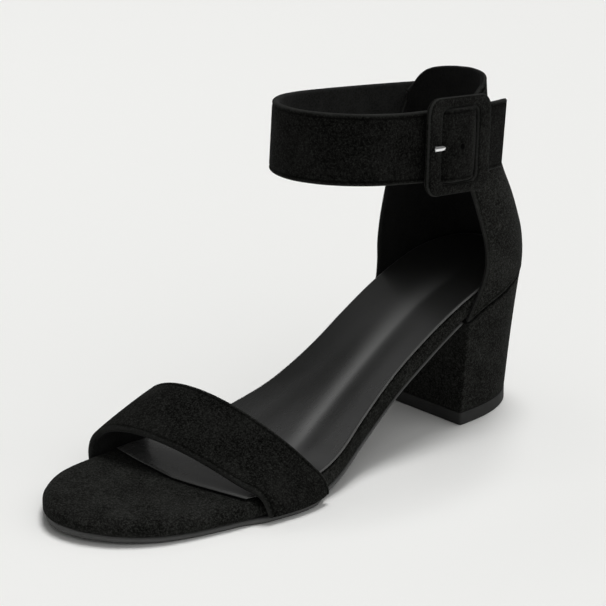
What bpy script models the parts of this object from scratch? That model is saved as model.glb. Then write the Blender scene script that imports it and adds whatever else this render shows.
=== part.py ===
"""Block heel sandal for the left foot: wide toe strap, closed back, buckled ankle strap.

Metres. The toe points to -Y, the heel to +Y, the wearer's left side (the buckle side) to +X,
and the floor is z = 0, where the flat of the forefoot and the heel tip both stand.
Tables are in millimetres. A station is the distance from the tip of the toe along the length.
"""
import bpy
import bmesh
import numpy as np

MM = 0.001
GAP = 0.3
HALF_LENGTH = 114.0

# Thickness of the sheets, in millimetres.
OUTSOLE = 2.3
OUTSOLE_END = 1.0
OUTSOLE_INSET = 0.8
EDGE_BEAD = 7.0
SOCK = 1.1
SKIRT_RISE = 1.1
SOCK_INSET = 0.7
SOCK_TOE_INSET = 4.6
WALL = 2.2
STRAP = 2.5
RIM_SHARE = 0.62
TOE_STRAP = 2.6
TAB = 1.0

# Outline of the footbed: station, medial x, lateral x.
OUTLINE = np.array([
    (0.0, -7.7, -7.7), (1.2, -14.6, 0.0), (4.0, -20.5, 7.3), (12.0, -30.7, 18.2), (25.0, -39.1, 27.5),
    (45.0, -42.4, 34.3), (65.0, -42.5, 38.4), (82.0, -39.3, 40.4), (100.0, -32.8, 37.4),
    (120.0, -25.6, 31.1), (140.0, -22.4, 27.3), (160.0, -22.8, 26.2), (180.0, -24.0, 25.6),
    (200.0, -24.4, 25.2), (208.0, -22.9, 23.6), (214.0, -20.3, 21.0), (219.0, -16.7, 17.3),
    (223.0, -11.8, 12.3), (225.2, -7.0, 7.3), (226.2, 0.0, 0.0)])

# Heights of the sole body down its middle: station, top of the sock, underside.
PROFILE = np.array([
    (0.0, 11.6, 1.9), (12.0, 10.9, 1.1), (24.0, 10.5, 0.4), (38.0, 10.1, 0.0), (57.0, 9.6, 0.0),
    (76.0, 9.5, 0.0), (86.0, 10.3, 0.7), (95.0, 12.1, 2.3), (107.5, 16.8, 6.5), (120.0, 22.5, 11.9),
    (132.5, 29.3, 18.5), (145.0, 36.3, 25.6), (157.5, 43.0, 32.5), (170.0, 49.0, 39.1),
    (182.0, 53.9, 44.9), (190.0, 56.7, 48.2), (200.0, 59.8, 51.5), (210.0, 62.5, 54.7),
    (218.0, 64.4, 56.9), (230.0, 66.4, 59.2)])

# Front edge of the sock across the foot: x, station.
SOCK_FRONT = np.array([
    (-45.0, 52.5), (-21.0, 50.5), (-1.0, 49.9), (8.0, 51.6), (23.0, 55.3), (35.0, 58.3), (45.0, 61.0)])

# Edges of the toe strap: station and handle height, then handle lean, at each foot of its arch.
TOE_EDGES = {
    "front": {"lateral": (62.2, 8.0, 5.2), "medial": (43.4, 37.3, 9.1)},
    "rear": {"lateral": (90.8, 13.4, 4.3), "medial": (74.0, 62.3, 12.4)}}
HANDLE_SLIP = 10.0

# Closed back, outer face by height: z, lateral half width, medial half width, rearmost y,
# lateral front edge y, medial front edge y.
BACK = np.array([
    (44.0, 27.8, 27.0, 113.6, 66.6, 66.0), (51.0, 27.9, 27.1, 114.9, 71.0, 68.0),
    (58.0, 28.0, 27.3, 116.0, 75.4, 69.0), (66.0, 28.0, 27.4, 116.6, 78.4, 69.2),
    (74.0, 27.6, 27.0, 115.6, 78.4, 69.8), (82.0, 27.0, 26.5, 112.8, 76.6, 71.0),
    (91.0, 26.0, 25.5, 109.0, 74.2, 72.4), (102.0, 24.6, 24.4, 102.9, 71.4, 75.0),
    (112.0, 23.9, 23.9, 98.0, 69.8, 77.0), (122.0, 23.4, 23.6, 94.4, 69.6, 80.5),
    (132.0, 21.2, 22.6, 90.4, 71.0, 84.5), (143.0, 19.8, 21.2, 90.9, 73.0, 87.0)])
BACK_TURN = 82.0
BACK_POWER = 2.15

# Upper rim of the closed back: share of the way from the lateral to the medial front edge, z.
BACK_RIM = np.array([
    (0.0, 128.5), (0.05, 133.8), (0.12, 138.2), (0.2, 141.2), (0.28, 142.5), (0.36, 142.9),
    (0.44, 142.8), (0.52, 142.1), (0.6, 141.0), (0.66, 139.9), (0.71, 138.3), (0.75, 136.2),
    (0.8, 132.8), (0.86, 130.0), (0.93, 127.4), (1.0, 124.5)])

# Middle of the ankle strap seen from above: x, y, from the seam on the medial side to the tail.
ANKLE = np.array([
    (-24.9, 88.2), (-26.0, 82.0), (-27.0, 75.1), (-28.6, 63.6), (-29.8, 52.0), (-30.7, 40.4),
    (-30.8, 28.7), (-28.1, 17.4), (-21.3, 8.1), (-11.3, 2.1), (0.2, 0.3), (11.2, 3.7), (20.0, 11.3),
    (25.9, 21.3), (28.9, 32.6), (30.0, 44.2), (29.8, 55.9), (28.7, 67.5), (27.4, 79.1), (25.2, 88.2)])
ANKLE_WIDTH = 26.8
ANKLE_HEIGHT = 122.9
ANKLE_PITCH = -0.09
ANKLE_ROLL = 0.03

# Buckle: middle of the frame, directions along the strap and up, sizes.
BUCKLE_CENTRE = np.array((32.95, 54.4, 122.8))
BUCKLE_ALONG = np.array((-0.05, 1.0, -0.11))
BUCKLE_UP = np.array((-0.06, 0.11, 1.0))
FRAME_LENGTH = 36.6
FRAME_HEIGHT = 37.8
FRAME_CORNER = 6.0
WINDOW_LENGTH = 20.5
WINDOW_HEIGHT = 28.8
WINDOW_CORNER = 3.0
FRAME_THICK = 4.0
BAR_DEPTH = -1.6
BAR_RADIUS = 0.8
PRONG_RADIUS = 0.95
STRAP_LOW = -3.6
STRAP_HIGH = 2.1
WEAVE = 13.9

# Middle line of the prong in the buckle's own directions: along the strap, outward.
PRONG = np.array([
    (2.1, -2.6), (0.9, -3.5), (-0.9, -3.6), (-3.0, -3.4), (-5.2, -2.7), (-6.9, -1.3), (-8.0, 0.4),
    (-9.4, 1.8), (-11.3, 2.35), (-14.0, 2.35), (-17.0, 2.2)])
PRONG_HOLE = 0.45
PRONG_BED = 0.3

# Heel block: half width, breast y, y where the back starts to turn, rearmost y, at the tip.
TIP = {"half": 25.4, "breast": 65.7, "turn": 72.0, "back": 109.4}
TIP_THICK = 5.5
TIP_RINGS = ((0.985, 0.0), (1.0, 0.6), (1.0, TIP_THICK - 0.4), (0.99, TIP_THICK))
HEEL_WAIST = 0.02
SEAT_BREAST = 67.9
SEAT_LATERAL = 27.9
SEAT_MEDIAL = 27.1
SEAT_BACK = 115.0

SUEDE = ("suede", (0.016, 0.016, 0.018), 0.92, 0.0)
RUBBER = ("rubber", (0.03, 0.03, 0.032), 0.75, 0.0)
TOP_PIECE = ("top_piece", (0.16, 0.16, 0.165), 0.7, 0.0)
LINING = ("lining", (0.035, 0.035, 0.037), 0.38, 0.0)
STEEL = ("steel", (0.8, 0.8, 0.8), 0.18, 1.0)


def clear_scene():
    """Remove every object of the opening scene."""
    for item in list(bpy.data.objects):
        bpy.data.objects.remove(item, do_unlink=True)


def collection(name):
    """A collection under the scene's own."""
    group = bpy.data.collections.new(name)
    bpy.context.scene.collection.children.link(group)
    return group


def material(spec):
    """Principled material from (name, colour, roughness, metallic)."""
    name, colour, rough, metal = spec
    found = bpy.data.materials.get(name)
    if found:
        return found
    made = bpy.data.materials.new(name)
    made.use_nodes = True
    shader = made.node_tree.nodes["Principled BSDF"]
    shader.inputs["Base Color"].default_value = (*colour, 1.0)
    shader.inputs["Roughness"].default_value = rough
    shader.inputs["Metallic"].default_value = metal
    made.diffuse_color = (*colour, 1.0)
    return made


def add_piece(name, verts, faces, spec, group):
    """Mesh object in metres from vertices in millimetres, faces turned outward."""
    mesh = bpy.data.meshes.new(name)
    mesh.from_pydata((np.asarray(verts) * MM).tolist(), [], faces)
    work = bmesh.new()
    work.from_mesh(mesh)
    bmesh.ops.recalc_face_normals(work, faces=work.faces)
    work.to_mesh(mesh)
    work.free()
    mesh.polygons.foreach_set("use_smooth", [True] * len(mesh.polygons))
    item = bpy.data.objects.new(name, mesh)
    group.objects.link(item)
    if spec:
        mesh.materials.append(material(spec))
    return item


def hermite(xs, ys, x):
    """Smooth curve through the points of a table, slopes from the neighbours."""
    slope = np.gradient(ys, xs)
    x = np.clip(x, xs[0], xs[-1])
    i = np.clip(np.searchsorted(xs, x) - 1, 0, len(xs) - 2)
    step = xs[i + 1] - xs[i]
    s = (x - xs[i]) / step
    return ((1 + 2 * s) * (1 - s) ** 2 * ys[i] + s * (1 - s) ** 2 * step * slope[i]
            + s * s * (3 - 2 * s) * ys[i + 1] - s * s * (1 - s) * step * slope[i + 1])


def along(points, share):
    """Points at shares of the length of a smooth line through the given points."""
    reach = np.concatenate([[0.0], np.cumsum(np.linalg.norm(np.diff(points, axis=0), axis=1))])
    fine = np.linspace(0.0, reach[-1], 40 * len(points))
    line = np.stack([hermite(reach, points[:, k], fine) for k in range(points.shape[1])], axis=1)
    run = np.concatenate([[0.0], np.cumsum(np.linalg.norm(np.diff(line, axis=0), axis=1))])
    return np.stack([np.interp(share * run[-1], run, line[:, k]) for k in range(line.shape[1])], axis=1)


def unit(v):
    """Vectors scaled to length one."""
    return v / np.linalg.norm(v, axis=-1, keepdims=True)


def smooth(x, low, high):
    """0 below low, 1 above high, and an easy slope between."""
    s = np.clip((x - low) / (high - low), 0.0, 1.0)
    return s * s * (3 - 2 * s)


def base_top(y):
    """Height of the top of the sock at y."""
    return hermite(PROFILE[:, 0], PROFILE[:, 1], y + HALF_LENGTH)


def base_bottom(y):
    """Height of the underside of the sole body at y."""
    return np.maximum(hermite(PROFILE[:, 0], PROFILE[:, 2], y + HALF_LENGTH), 0.0)


def outsole_thick(y):
    """The outsole is full under the forefoot and skived thin from the arch on."""
    return OUTSOLE + (OUTSOLE_END - OUTSOLE) * smooth(y, -30.0, 30.0)


def toe_share(y):
    """1 at the toe and under the toe strap, 0 from the arch on."""
    return 1 - smooth(y, -48.0, -2.0)


def sock_inset(y):
    """How far the sock stays inside the footbed's outline."""
    return SOCK_INSET + (SOCK_TOE_INSET - SOCK_INSET) * toe_share(y)


def shoulder(y):
    """How far in and how far down the footbed's upper edge is rounded."""
    return 1.4 + 4.6 * toe_share(y), 1.2 + 2.7 * toe_share(y)


def footbed_top(y):
    """Height of the footbed's upper face, under the sock."""
    return base_top(y) - SOCK - 1.5 * GAP


def upright(y):
    """Share that turns a height at y into a thickness square to the sole."""
    return 1 / np.hypot(1.0, (base_bottom(y + 1.0) - base_bottom(y - 1.0)) / 2)


def footbed_bottom(y):
    """The footbed lies on the outsole, and behind the breast on the heel block."""
    return base_bottom(y) + (outsole_thick(y) + 1.5 * GAP) * (1 - smooth(y, 67.5, 71.5))


def halves(inset, count):
    """Lateral and medial side of the footbed's outline, toe to heel, moved in by a number or inset(y)."""
    lateral = np.stack([OUTLINE[:, 2], OUTLINE[:, 0] - HALF_LENGTH], axis=1)
    medial = np.stack([OUTLINE[:, 1], OUTLINE[:, 0] - HALF_LENGTH], axis=1)
    loop = np.concatenate([lateral, medial[-2:0:-1]])
    ahead = np.roll(loop, -1, axis=0)
    chord = np.linalg.norm(ahead - loop, axis=1)
    slope = (ahead - np.roll(loop, 1, axis=0)) / (chord + np.roll(chord, 1))[:, None]
    s = np.linspace(0, 1, 24, endpoint=False)[None, :, None]
    step = chord[:, None, None]
    fine = ((1 + 2 * s) * (1 - s) ** 2 * loop[:, None] + s * (1 - s) ** 2 * step * slope[:, None]
            + s * s * (3 - 2 * s) * ahead[:, None]
            - s * s * (1 - s) * step * np.roll(slope, -1, axis=0)[:, None]).reshape(-1, 2)
    turn = unit(np.roll(fine, -1, axis=0) - np.roll(fine, 1, axis=0))
    push = inset(fine[:, 1])[:, None] if callable(inset) else inset
    fine = fine + push * np.stack([-turn[:, 1], turn[:, 0]], axis=1)
    heel = 24 * (len(OUTLINE) - 1)
    u = np.linspace(0, 1, count)
    share = u - 0.4 * np.sin(2 * np.pi * u) / (2 * np.pi)
    sides = []
    for side in (fine[:heel + 1], np.concatenate([fine[:1], fine[:heel - 1:-1]])):
        run = np.concatenate([[0.0], np.cumsum(np.linalg.norm(np.diff(side, axis=0), axis=1))])
        sides.append(np.stack([np.interp(share * run[-1], run, side[:, k]) for k in (0, 1)], axis=1))
    return sides


def plate(name, section, spec, group, stations=36, columns=6):
    """Solid with the sole's outline: a ring for each (inset, height) of the section, from the
    underside up, then a skin over each face."""
    rows = []
    for inset, height in section:
        lateral, medial = halves(inset, stations)
        ring = np.concatenate([lateral, medial[-2:0:-1]])
        rows.append(np.column_stack([ring, height(ring[:, 1])]))
    count = len(rows[0])
    verts = list(np.concatenate(rows))
    faces = []
    for r in range(len(rows) - 1):
        for i in range(count):
            j = (i + 1) % count
            faces.append((r * count + i, r * count + j, (r + 1) * count + j, (r + 1) * count + i))
    for start, height in ((0, section[0][1]), ((len(rows) - 1) * count, section[-1][1])):
        lines = []
        for i in range(1, stations - 1):
            a, b = start + i, start + count - i
            inner = []
            for c in range(1, columns):
                x, y = (verts[a] + (verts[b] - verts[a]) * c / columns)[:2]
                inner.append(len(verts))
                verts.append(np.array((x, y, float(height(np.array(y))))))
            lines.append([a, *inner, b])
        for here, after in zip(lines[:-1], lines[1:]):
            faces += [(here[c], here[c + 1], after[c + 1], after[c]) for c in range(columns)]
        for tip, line in ((start, lines[0]), (start + stations - 1, lines[-1])):
            faces += [(tip, line[c], line[c + 1]) for c in range(columns)]
    return add_piece(name, verts, faces, spec, group)


def sheet(name, middle, half, spec, group, lip=0.7):
    """Solid sheet: a grid of middle points thickened by half each way, with a rounded rim."""
    rows, cols = middle.shape[:2]
    run = np.gradient(middle, axis=0)
    across = np.gradient(middle, axis=1)
    normal = unit(np.cross(run, across))
    depth = np.broadcast_to(np.asarray(half, dtype=float), (rows, cols)).copy()
    rim = np.zeros((rows, cols), dtype=bool)
    rim[[0, -1], :] = True
    rim[:, [0, -1]] = True
    depth[rim] *= RIM_SHARE
    outer = middle + normal * depth[..., None]
    inner = middle - normal * depth[..., None]
    edge = [(0, c) for c in range(cols)] + [(r, cols - 1) for r in range(1, rows)]
    edge += [(rows - 1, c) for c in range(cols - 2, -1, -1)] + [(r, 0) for r in range(rows - 2, 0, -1)]
    r, c = np.array(edge).T
    ends = (r == rows - 1).astype(float) - (r == 0)
    flanks = (c == cols - 1).astype(float) - (c == 0)
    side = unit(run[r, c]) * ends[:, None] + unit(across[r, c]) * flanks[:, None]
    bulge = middle[r, c] + unit(side) * (lip * depth[r, c] / RIM_SHARE)[:, None]
    verts = np.concatenate([outer.reshape(-1, 3), inner.reshape(-1, 3), bulge])
    size = rows * cols
    faces = []
    for i in range(rows - 1):
        for j in range(cols - 1):
            a = i * cols + j
            faces.append((a, a + 1, a + cols + 1, a + cols))
            faces.append((size + a, size + a + cols, size + a + cols + 1, size + a + 1))
    for k in range(len(edge)):
        n = (k + 1) % len(edge)
        a, b = r[k] * cols + c[k], r[n] * cols + c[n]
        m, p = 2 * size + k, 2 * size + n
        faces.append((int(a), int(m), int(p), int(b)))
        faces.append((int(size + a), int(size + b), int(p), int(m)))
    return add_piece(name, verts, faces, spec, group)


def tube(name, rings, closed, spec, group):
    """Skin over a run of closed rings, with flat ends unless the run closes on itself."""
    count, size = rings.shape[:2]
    faces = []
    for k in range(count if closed else count - 1):
        n = (k + 1) % count
        for i in range(size):
            j = (i + 1) % size
            faces.append((k * size + i, k * size + j, n * size + j, n * size + i))
    if not closed:
        faces.append(tuple(range(size)))
        faces.append(tuple((count - 1) * size + i for i in range(size)))
    return add_piece(name, rings.reshape(-1, 3), faces, spec, group)


def rod(name, line, side, radii, spec, group, sides=10):
    """Round rod along a line that lies in a plane square to side."""
    ahead = unit(np.gradient(line, axis=0))
    side = unit(np.asarray(side, dtype=float))
    other = unit(np.cross(ahead, side))
    turn = np.linspace(0, 2 * np.pi, sides, endpoint=False)[None, :, None]
    radii = np.broadcast_to(np.asarray(radii, dtype=float), len(line))[:, None, None]
    rings = line[:, None] + radii * (np.cos(turn) * other[:, None] + np.sin(turn) * side)
    return tube(name, rings, False, spec, group)


def cut(item, cutter):
    """Take the cutter's volume out of the item."""
    change = item.modifiers.new("cut", "BOOLEAN")
    change.operation = "DIFFERENCE"
    change.solver = "EXACT"
    change.object = cutter
    cutter.hide_render = True
    cutter.display_type = "WIRE"


def local(point):
    """Buckle coordinates (along the strap, outward, up) to world."""
    ahead, up, out = buckle_axes()
    point = np.asarray(point, dtype=float)
    return BUCKLE_CENTRE + point[..., :1] * ahead + point[..., 1:2] * out + point[..., 2:3] * up


def buckle_axes():
    """Unit directions of the buckle: along the strap, up, outward."""
    ahead = unit(BUCKLE_ALONG)
    up = BUCKLE_UP - ahead * np.dot(BUCKLE_UP, ahead)
    up = unit(up)
    return ahead, up, np.cross(ahead, up)


def make_base(group):
    """Outsole, footbed and sock, one on another along the same last."""
    make_outsole(group)
    section = [(0.6, footbed_bottom), (0.0, lambda y: footbed_bottom(y) + 0.6)]
    for b in np.linspace(0, np.pi / 2, 5):
        section.append((lambda y, b=b: shoulder(y)[0] * (1 - np.cos(b)),
                        lambda y, b=b: footbed_top(y) - shoulder(y)[1] * (1 - np.sin(b))))
    plate("footbed", section, SUEDE, group)
    rows, cols = 28, 7
    lateral, medial = halves(sock_inset, 60)
    share = np.linspace(0, 1, rows)
    sides = []
    for side in (lateral, medial):
        front = np.interp(side[:, 0], SOCK_FRONT[:, 0], SOCK_FRONT[:, 1]) - HALF_LENGTH
        start = np.interp(0.0, (side[:, 1] - front)[:40], np.arange(40))
        at = start + (58.6 - start) * share
        sides.append(np.stack([np.interp(at, np.arange(60), side[:, k]) for k in (0, 1)], axis=1))
    v = np.linspace(0, 1, cols)[None, :, None]
    flat = sides[0][:, None] * (1 - v) + sides[1][:, None] * v
    bend = np.interp(flat[..., 0], SOCK_FRONT[:, 0], SOCK_FRONT[:, 1]) - HALF_LENGTH
    straight = bend[:, :1] * (1 - v[..., 0]) + bend[:, -1:] * v[..., 0]
    fade = np.clip(1 - share * 3, 0, 1)[:, None]
    y = flat[..., 1] + (bend - straight) * fade
    middle = np.stack([flat[..., 0], y, base_top(y) - SOCK / 2], axis=-1)
    sheet("sock", middle, SOCK / 2 * upright(y), LINING, group, lip=0.5)


def make_outsole(group):
    """Rubber sheet from the toe to the heel breast."""
    rows, cols = 30, 6
    lateral, medial = halves(OUTSOLE_INSET, 60)
    share = np.linspace(0, 1, rows)
    share = share * (0.6 + 0.4 * share)
    sides = []
    for side in (lateral, medial):
        stop = np.interp(SEAT_BREAST - 1.2, side[:, 1], np.arange(60))
        at = 0.9 + (stop - 0.9) * share
        sides.append(np.stack([np.interp(at, np.arange(60), side[:, k]) for k in (0, 1)], axis=1))
    v = np.linspace(0, 1, cols)[None, :, None]
    flat = sides[0][:, None] * (1 - v) + sides[1][:, None] * v
    thick = outsole_thick(flat[..., 1])
    middle = np.stack([flat[..., 0], flat[..., 1], base_bottom(flat[..., 1]) + thick / 2], axis=-1)
    sheet("outsole", middle, thick / 2 * upright(flat[..., 1]), RUBBER, group, lip=0.5)


def off_the_edge(middle, lateral, medial):
    """Push strap points out of a round bead along each upper edge of the footbed, and off its top."""
    moved = middle.copy()
    for side, sign in ((lateral, 1.0), (medial, -1.0)):
        rim = np.interp(moved[..., 1], side[:, 1], side[:, 0]) - sign * EDGE_BEAD
        centre = base_top(moved[..., 1]) + 2 * GAP + TOE_STRAP / 2 - EDGE_BEAD
        out = (moved[..., 0] - rim) * sign
        rise = moved[..., 2] - centre
        far = np.maximum(np.hypot(out, rise), 1e-6)
        near = (out > 0) & (far < EDGE_BEAD) & (rise > 0)
        moved[..., 0] = np.where(near, rim + sign * out * EDGE_BEAD / far, moved[..., 0])
        moved[..., 2] = np.where(near, centre + rise * EDGE_BEAD / far, moved[..., 2])
        wall = (out > -1.0) & (out < EDGE_BEAD) & (rise <= 0)
        moved[..., 0] = np.where(wall, rim + sign * EDGE_BEAD, moved[..., 0])
    y = moved[..., 1]
    inside = ((moved[..., 0] < np.interp(y, lateral[:, 1], lateral[:, 0]) - EDGE_BEAD)
              & (moved[..., 0] > np.interp(y, medial[:, 1], medial[:, 0]) + EDGE_BEAD))
    roof = base_top(y) + 2 * GAP + TOE_STRAP / 2
    moved[..., 2] = np.where(inside, np.maximum(moved[..., 2], roof), moved[..., 2])
    return moved


def make_toe_strap(group):
    """Padded band arched over the toes; both ends go down the footbed's sides to the outsole."""
    lateral, medial = halves(-2 * GAP - TOE_STRAP / 2, 90)
    rows, cols = 34, 8
    u = np.linspace(0, 1, rows)[:, None]
    u = u - 0.5 * np.sin(2 * np.pi * u) / (2 * np.pi)
    lines = []
    for v in np.linspace(0, 1, cols):
        ends = []
        for name, side in (("lateral", lateral), ("medial", medial)):
            front, rear = (np.array(TOE_EDGES[edge][name]) for edge in ("front", "rear"))
            station, height, lean = front + (rear - front) * v
            y = station - HALF_LENGTH
            x = np.interp(y, side[:, 1], side[:, 0])
            z = base_bottom(np.array(y)) + OUTSOLE + GAP + 0.4
            ends.append((np.array((x, y, z)), height, lean if name == "lateral" else -lean))
        (a, ha, la), (b, hb, lb) = ends
        c, d = a + (la, 0, ha), b + (lb, -HANDLE_SLIP * v, hb)
        lines.append((1 - u) ** 3 * a + 3 * (1 - u) ** 2 * u * c + 3 * (1 - u) * u * u * d + u ** 3 * b)
    middle = np.stack(lines, axis=1)
    for _ in range(3):
        middle = off_the_edge(middle, lateral, medial)
        middle[1:-1] = (middle[:-2] + 2 * middle[1:-1] + middle[2:]) / 4
    middle = off_the_edge(middle, lateral, medial)
    v = np.linspace(-1, 1, cols)[None, :]
    half = TOE_STRAP / 2 * (1.0 - 0.25 * v ** 6) * np.ones((rows, 1))
    sheet("toe_strap", middle, half, SUEDE, group)


def back_point(theta, z, inset):
    """Point of the closed back: theta 0 at the lateral front edge, 1 at the medial one."""
    lat, med, rear, front_lat, front_med = (hermite(BACK[:, 0], BACK[:, k], z) for k in range(1, 6))
    wing = 0.14
    turn = np.clip((theta - wing) / (1 - 2 * wing), 0, 1) * np.pi
    width = np.where(turn < np.pi / 2, lat, med) - inset
    power = 2 / BACK_POWER
    x = width * np.sign(np.cos(turn)) * np.abs(np.cos(turn)) ** power
    y = BACK_TURN + (rear - inset - BACK_TURN) * np.sin(turn) ** power
    y = np.where(theta < wing, front_lat + (BACK_TURN - front_lat) * theta / wing, y)
    y = np.where(theta > 1 - wing, front_med + (BACK_TURN - front_med) * (1 - theta) / wing, y)
    return np.stack([x, y, z * np.ones_like(x)], axis=-1)


def make_counter(group):
    """Closed back: wall from the heel's seam up to the tab that stands above the ankle strap."""
    cols, rows = 33, 16
    theta = np.linspace(0, 1, cols)
    inset = WALL / 2
    low = np.full(cols, 50.0)
    for _ in range(12):
        low = base_bottom(back_point(theta, low, inset)[:, 1])
    high = hermite(BACK_RIM[:, 0], BACK_RIM[:, 1], theta)
    share = np.linspace(0, 1, rows)[:, None]
    low = low + SKIRT_RISE
    z = low + (high - low) * share
    middle = back_point(theta[None, :] * np.ones((rows, 1)), z, inset)
    sheet("counter", middle, WALL / 2, SUEDE, group, lip=0.6)


def strap_line(count):
    """Middle line of the ankle strap with its weave through the buckle."""
    plan = along(ANKLE, np.linspace(0, 1, count))
    ahead, up, out = buckle_axes()
    z = ANKLE_HEIGHT + ANKLE_PITCH * (plan[:, 1] - BUCKLE_CENTRE[1]) + ANKLE_ROLL * (plan[:, 0] - 30.0)
    line = np.column_stack([plan, z])
    place = (line - BUCKLE_CENTRE) @ ahead
    outward = (line - BUCKLE_CENTRE) @ out
    near = (line[:, 0] > 10) & (np.abs(place) < WEAVE)
    middle, swing = (STRAP_HIGH + STRAP_LOW) / 2, (STRAP_HIGH - STRAP_LOW) / 2
    target = middle + swing * np.cos(np.pi * place / WEAVE)
    return line + np.where(near, target - outward, 0)[:, None] * out


def make_ankle_strap(group, cutters):
    """Padded strap from the medial seam round the ankle, through the buckle to its free tail."""
    rows, cols = 62, 7
    line = strap_line(rows)
    ahead = unit(np.gradient(line, axis=0))
    place = np.abs((line - BUCKLE_CENTRE) @ buckle_axes()[0])
    share = ((1 - smooth(place, 15.0, 27.0)) * (line[:, 0] > 10))[:, None]
    lean = np.array((0.0, -ANKLE_PITCH, 1.0)) * (1 - share) + BUCKLE_UP * share
    up = unit(lean - ahead * (ahead * lean).sum(axis=1, keepdims=True))
    v = np.linspace(-1, 1, cols)
    v = np.sign(v) * np.abs(v) ** 0.85
    middle = line[:, None] + up[:, None] * (v * ANKLE_WIDTH / 2)[None, :, None]
    half = STRAP / 2 * (1.0 - 0.3 * np.abs(v) ** 5)[None, :] * np.ones((rows, 1))
    strap = sheet("ankle_strap", middle, half, SUEDE, group, lip=0.4)
    steps = along(PRONG[2:9], np.linspace(0, 1, 14))
    path = local(np.column_stack([steps, np.zeros(len(steps))]))
    hole = rod("prong_hole", path, buckle_axes()[1], PRONG_RADIUS + PRONG_HOLE, None, cutters)
    cut(strap, hole)


def rounded_rectangle(length, height, corner, count):
    """Loop of (along, up) points with the same number of points on every corner and side."""
    points = []
    for k, (right, high) in enumerate(((1, 1), (-1, 1), (-1, -1), (1, -1))):
        centre = np.array(((length / 2 - corner) * right, (height / 2 - corner) * high))
        for turn in np.linspace(0, np.pi / 2, count) + k * np.pi / 2:
            points.append(centre + corner * np.array((np.cos(turn), np.sin(turn))))
    return np.array(points)


def make_buckle(group, cutters):
    """Covered frame with a bed for the prong's tip, centre bar, and prong."""
    ahead, up = buckle_axes()[:2]
    outer = rounded_rectangle(FRAME_LENGTH, FRAME_HEIGHT, FRAME_CORNER, 6)
    inner = rounded_rectangle(WINDOW_LENGTH, WINDOW_HEIGHT, WINDOW_CORNER, 6)
    turn = np.linspace(0, 2 * np.pi, 10, endpoint=False)
    swell = np.sign(np.cos(turn)) * np.abs(np.cos(turn)) ** 0.75
    rise = np.sign(np.sin(turn)) * np.abs(np.sin(turn)) ** 0.75
    across = (outer + inner)[:, None] / 2 + (outer - inner)[:, None] / 2 * swell[None, :, None]
    depth = FRAME_THICK / 2 * rise[None, :] * np.ones((len(outer), 1))
    rings = local(np.stack([across[..., 0], depth, across[..., 1]], axis=-1))
    frame = tube("buckle_frame", rings, True, SUEDE, group)
    reach = np.concatenate([PRONG[6:], PRONG[-1:] + (PRONG[-1:] - PRONG[-2:-1])])
    path = local(np.column_stack([reach, np.zeros(len(reach))]))
    cut(frame, rod("prong_bed", path, up, PRONG_RADIUS + PRONG_BED, None, cutters))
    reach = WINDOW_HEIGHT / 2 - GAP
    ends = np.linspace(-reach, reach, 3)
    bar = local(np.column_stack([np.zeros(3), np.full(3, BAR_DEPTH), ends]))
    rod("buckle_bar", bar, ahead, BAR_RADIUS, STEEL, group, sides=12)
    steps = along(PRONG, np.linspace(0, 1, 20))
    path = local(np.column_stack([steps, np.zeros(len(steps))]))
    radii = np.full(len(steps), PRONG_RADIUS)
    radii[-1] = 0.55 * PRONG_RADIUS
    rod("prong", path, up, radii, STEEL, group, sides=8)


def make_tab(group, cutters):
    """Tab sheet: flat on the closed back under the strap's tail, then round the centre bar and back."""
    up = buckle_axes()[1]
    loop = BAR_RADIUS + GAP + TAB / 2
    bend = np.linspace(-0.5 * np.pi, -1.42 * np.pi, 9)
    fold = np.column_stack([loop * np.cos(bend), BAR_DEPTH + loop * np.sin(bend)])
    wing = np.array([(28.0, -7.2), (24.0, -7.1), (18.0, -6.9), (12.0, -6.3), (6.0, -5.0), (2.5, -3.4)])
    line = np.concatenate([wing, fold])
    path = local(np.column_stack([line, np.zeros(len(line))]))
    v = np.linspace(-1, 1, 7)
    middle = path[:, None] + up * (v * 7.0)[None, :, None]
    tab = sheet("buckle_tab", middle, TAB / 2, SUEDE, group)
    corner = np.array([(-4.0, -8.0), (4.5, -8.0), (4.5, 3.0), (-4.0, 3.0)])
    rings = [local(np.column_stack([corner, np.full(4, h)])) for h in (-1.6, 1.6)]
    slot = tube("tab_slot", np.array(rings), False, None, cutters)
    cut(tab, slot)


def d_shape(lateral, medial, breast, turn_y, back, count):
    """Closed D outline: flat breast in front, straight flanks, rounded back."""
    theta = np.linspace(0, np.pi, count)
    power = 2 / BACK_POWER
    x = np.cos(theta)
    x = np.sign(x) * np.abs(x) ** power * np.where(x > 0, lateral, medial)
    y = turn_y + (back - turn_y) * np.sin(theta) ** power
    front = np.array([(lateral, breast), (lateral, (breast + turn_y) / 2)])
    rear = np.array([(-medial, (breast + turn_y) / 2), (-medial, breast)])
    return np.concatenate([front, np.column_stack([x, y]), rear])


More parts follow.
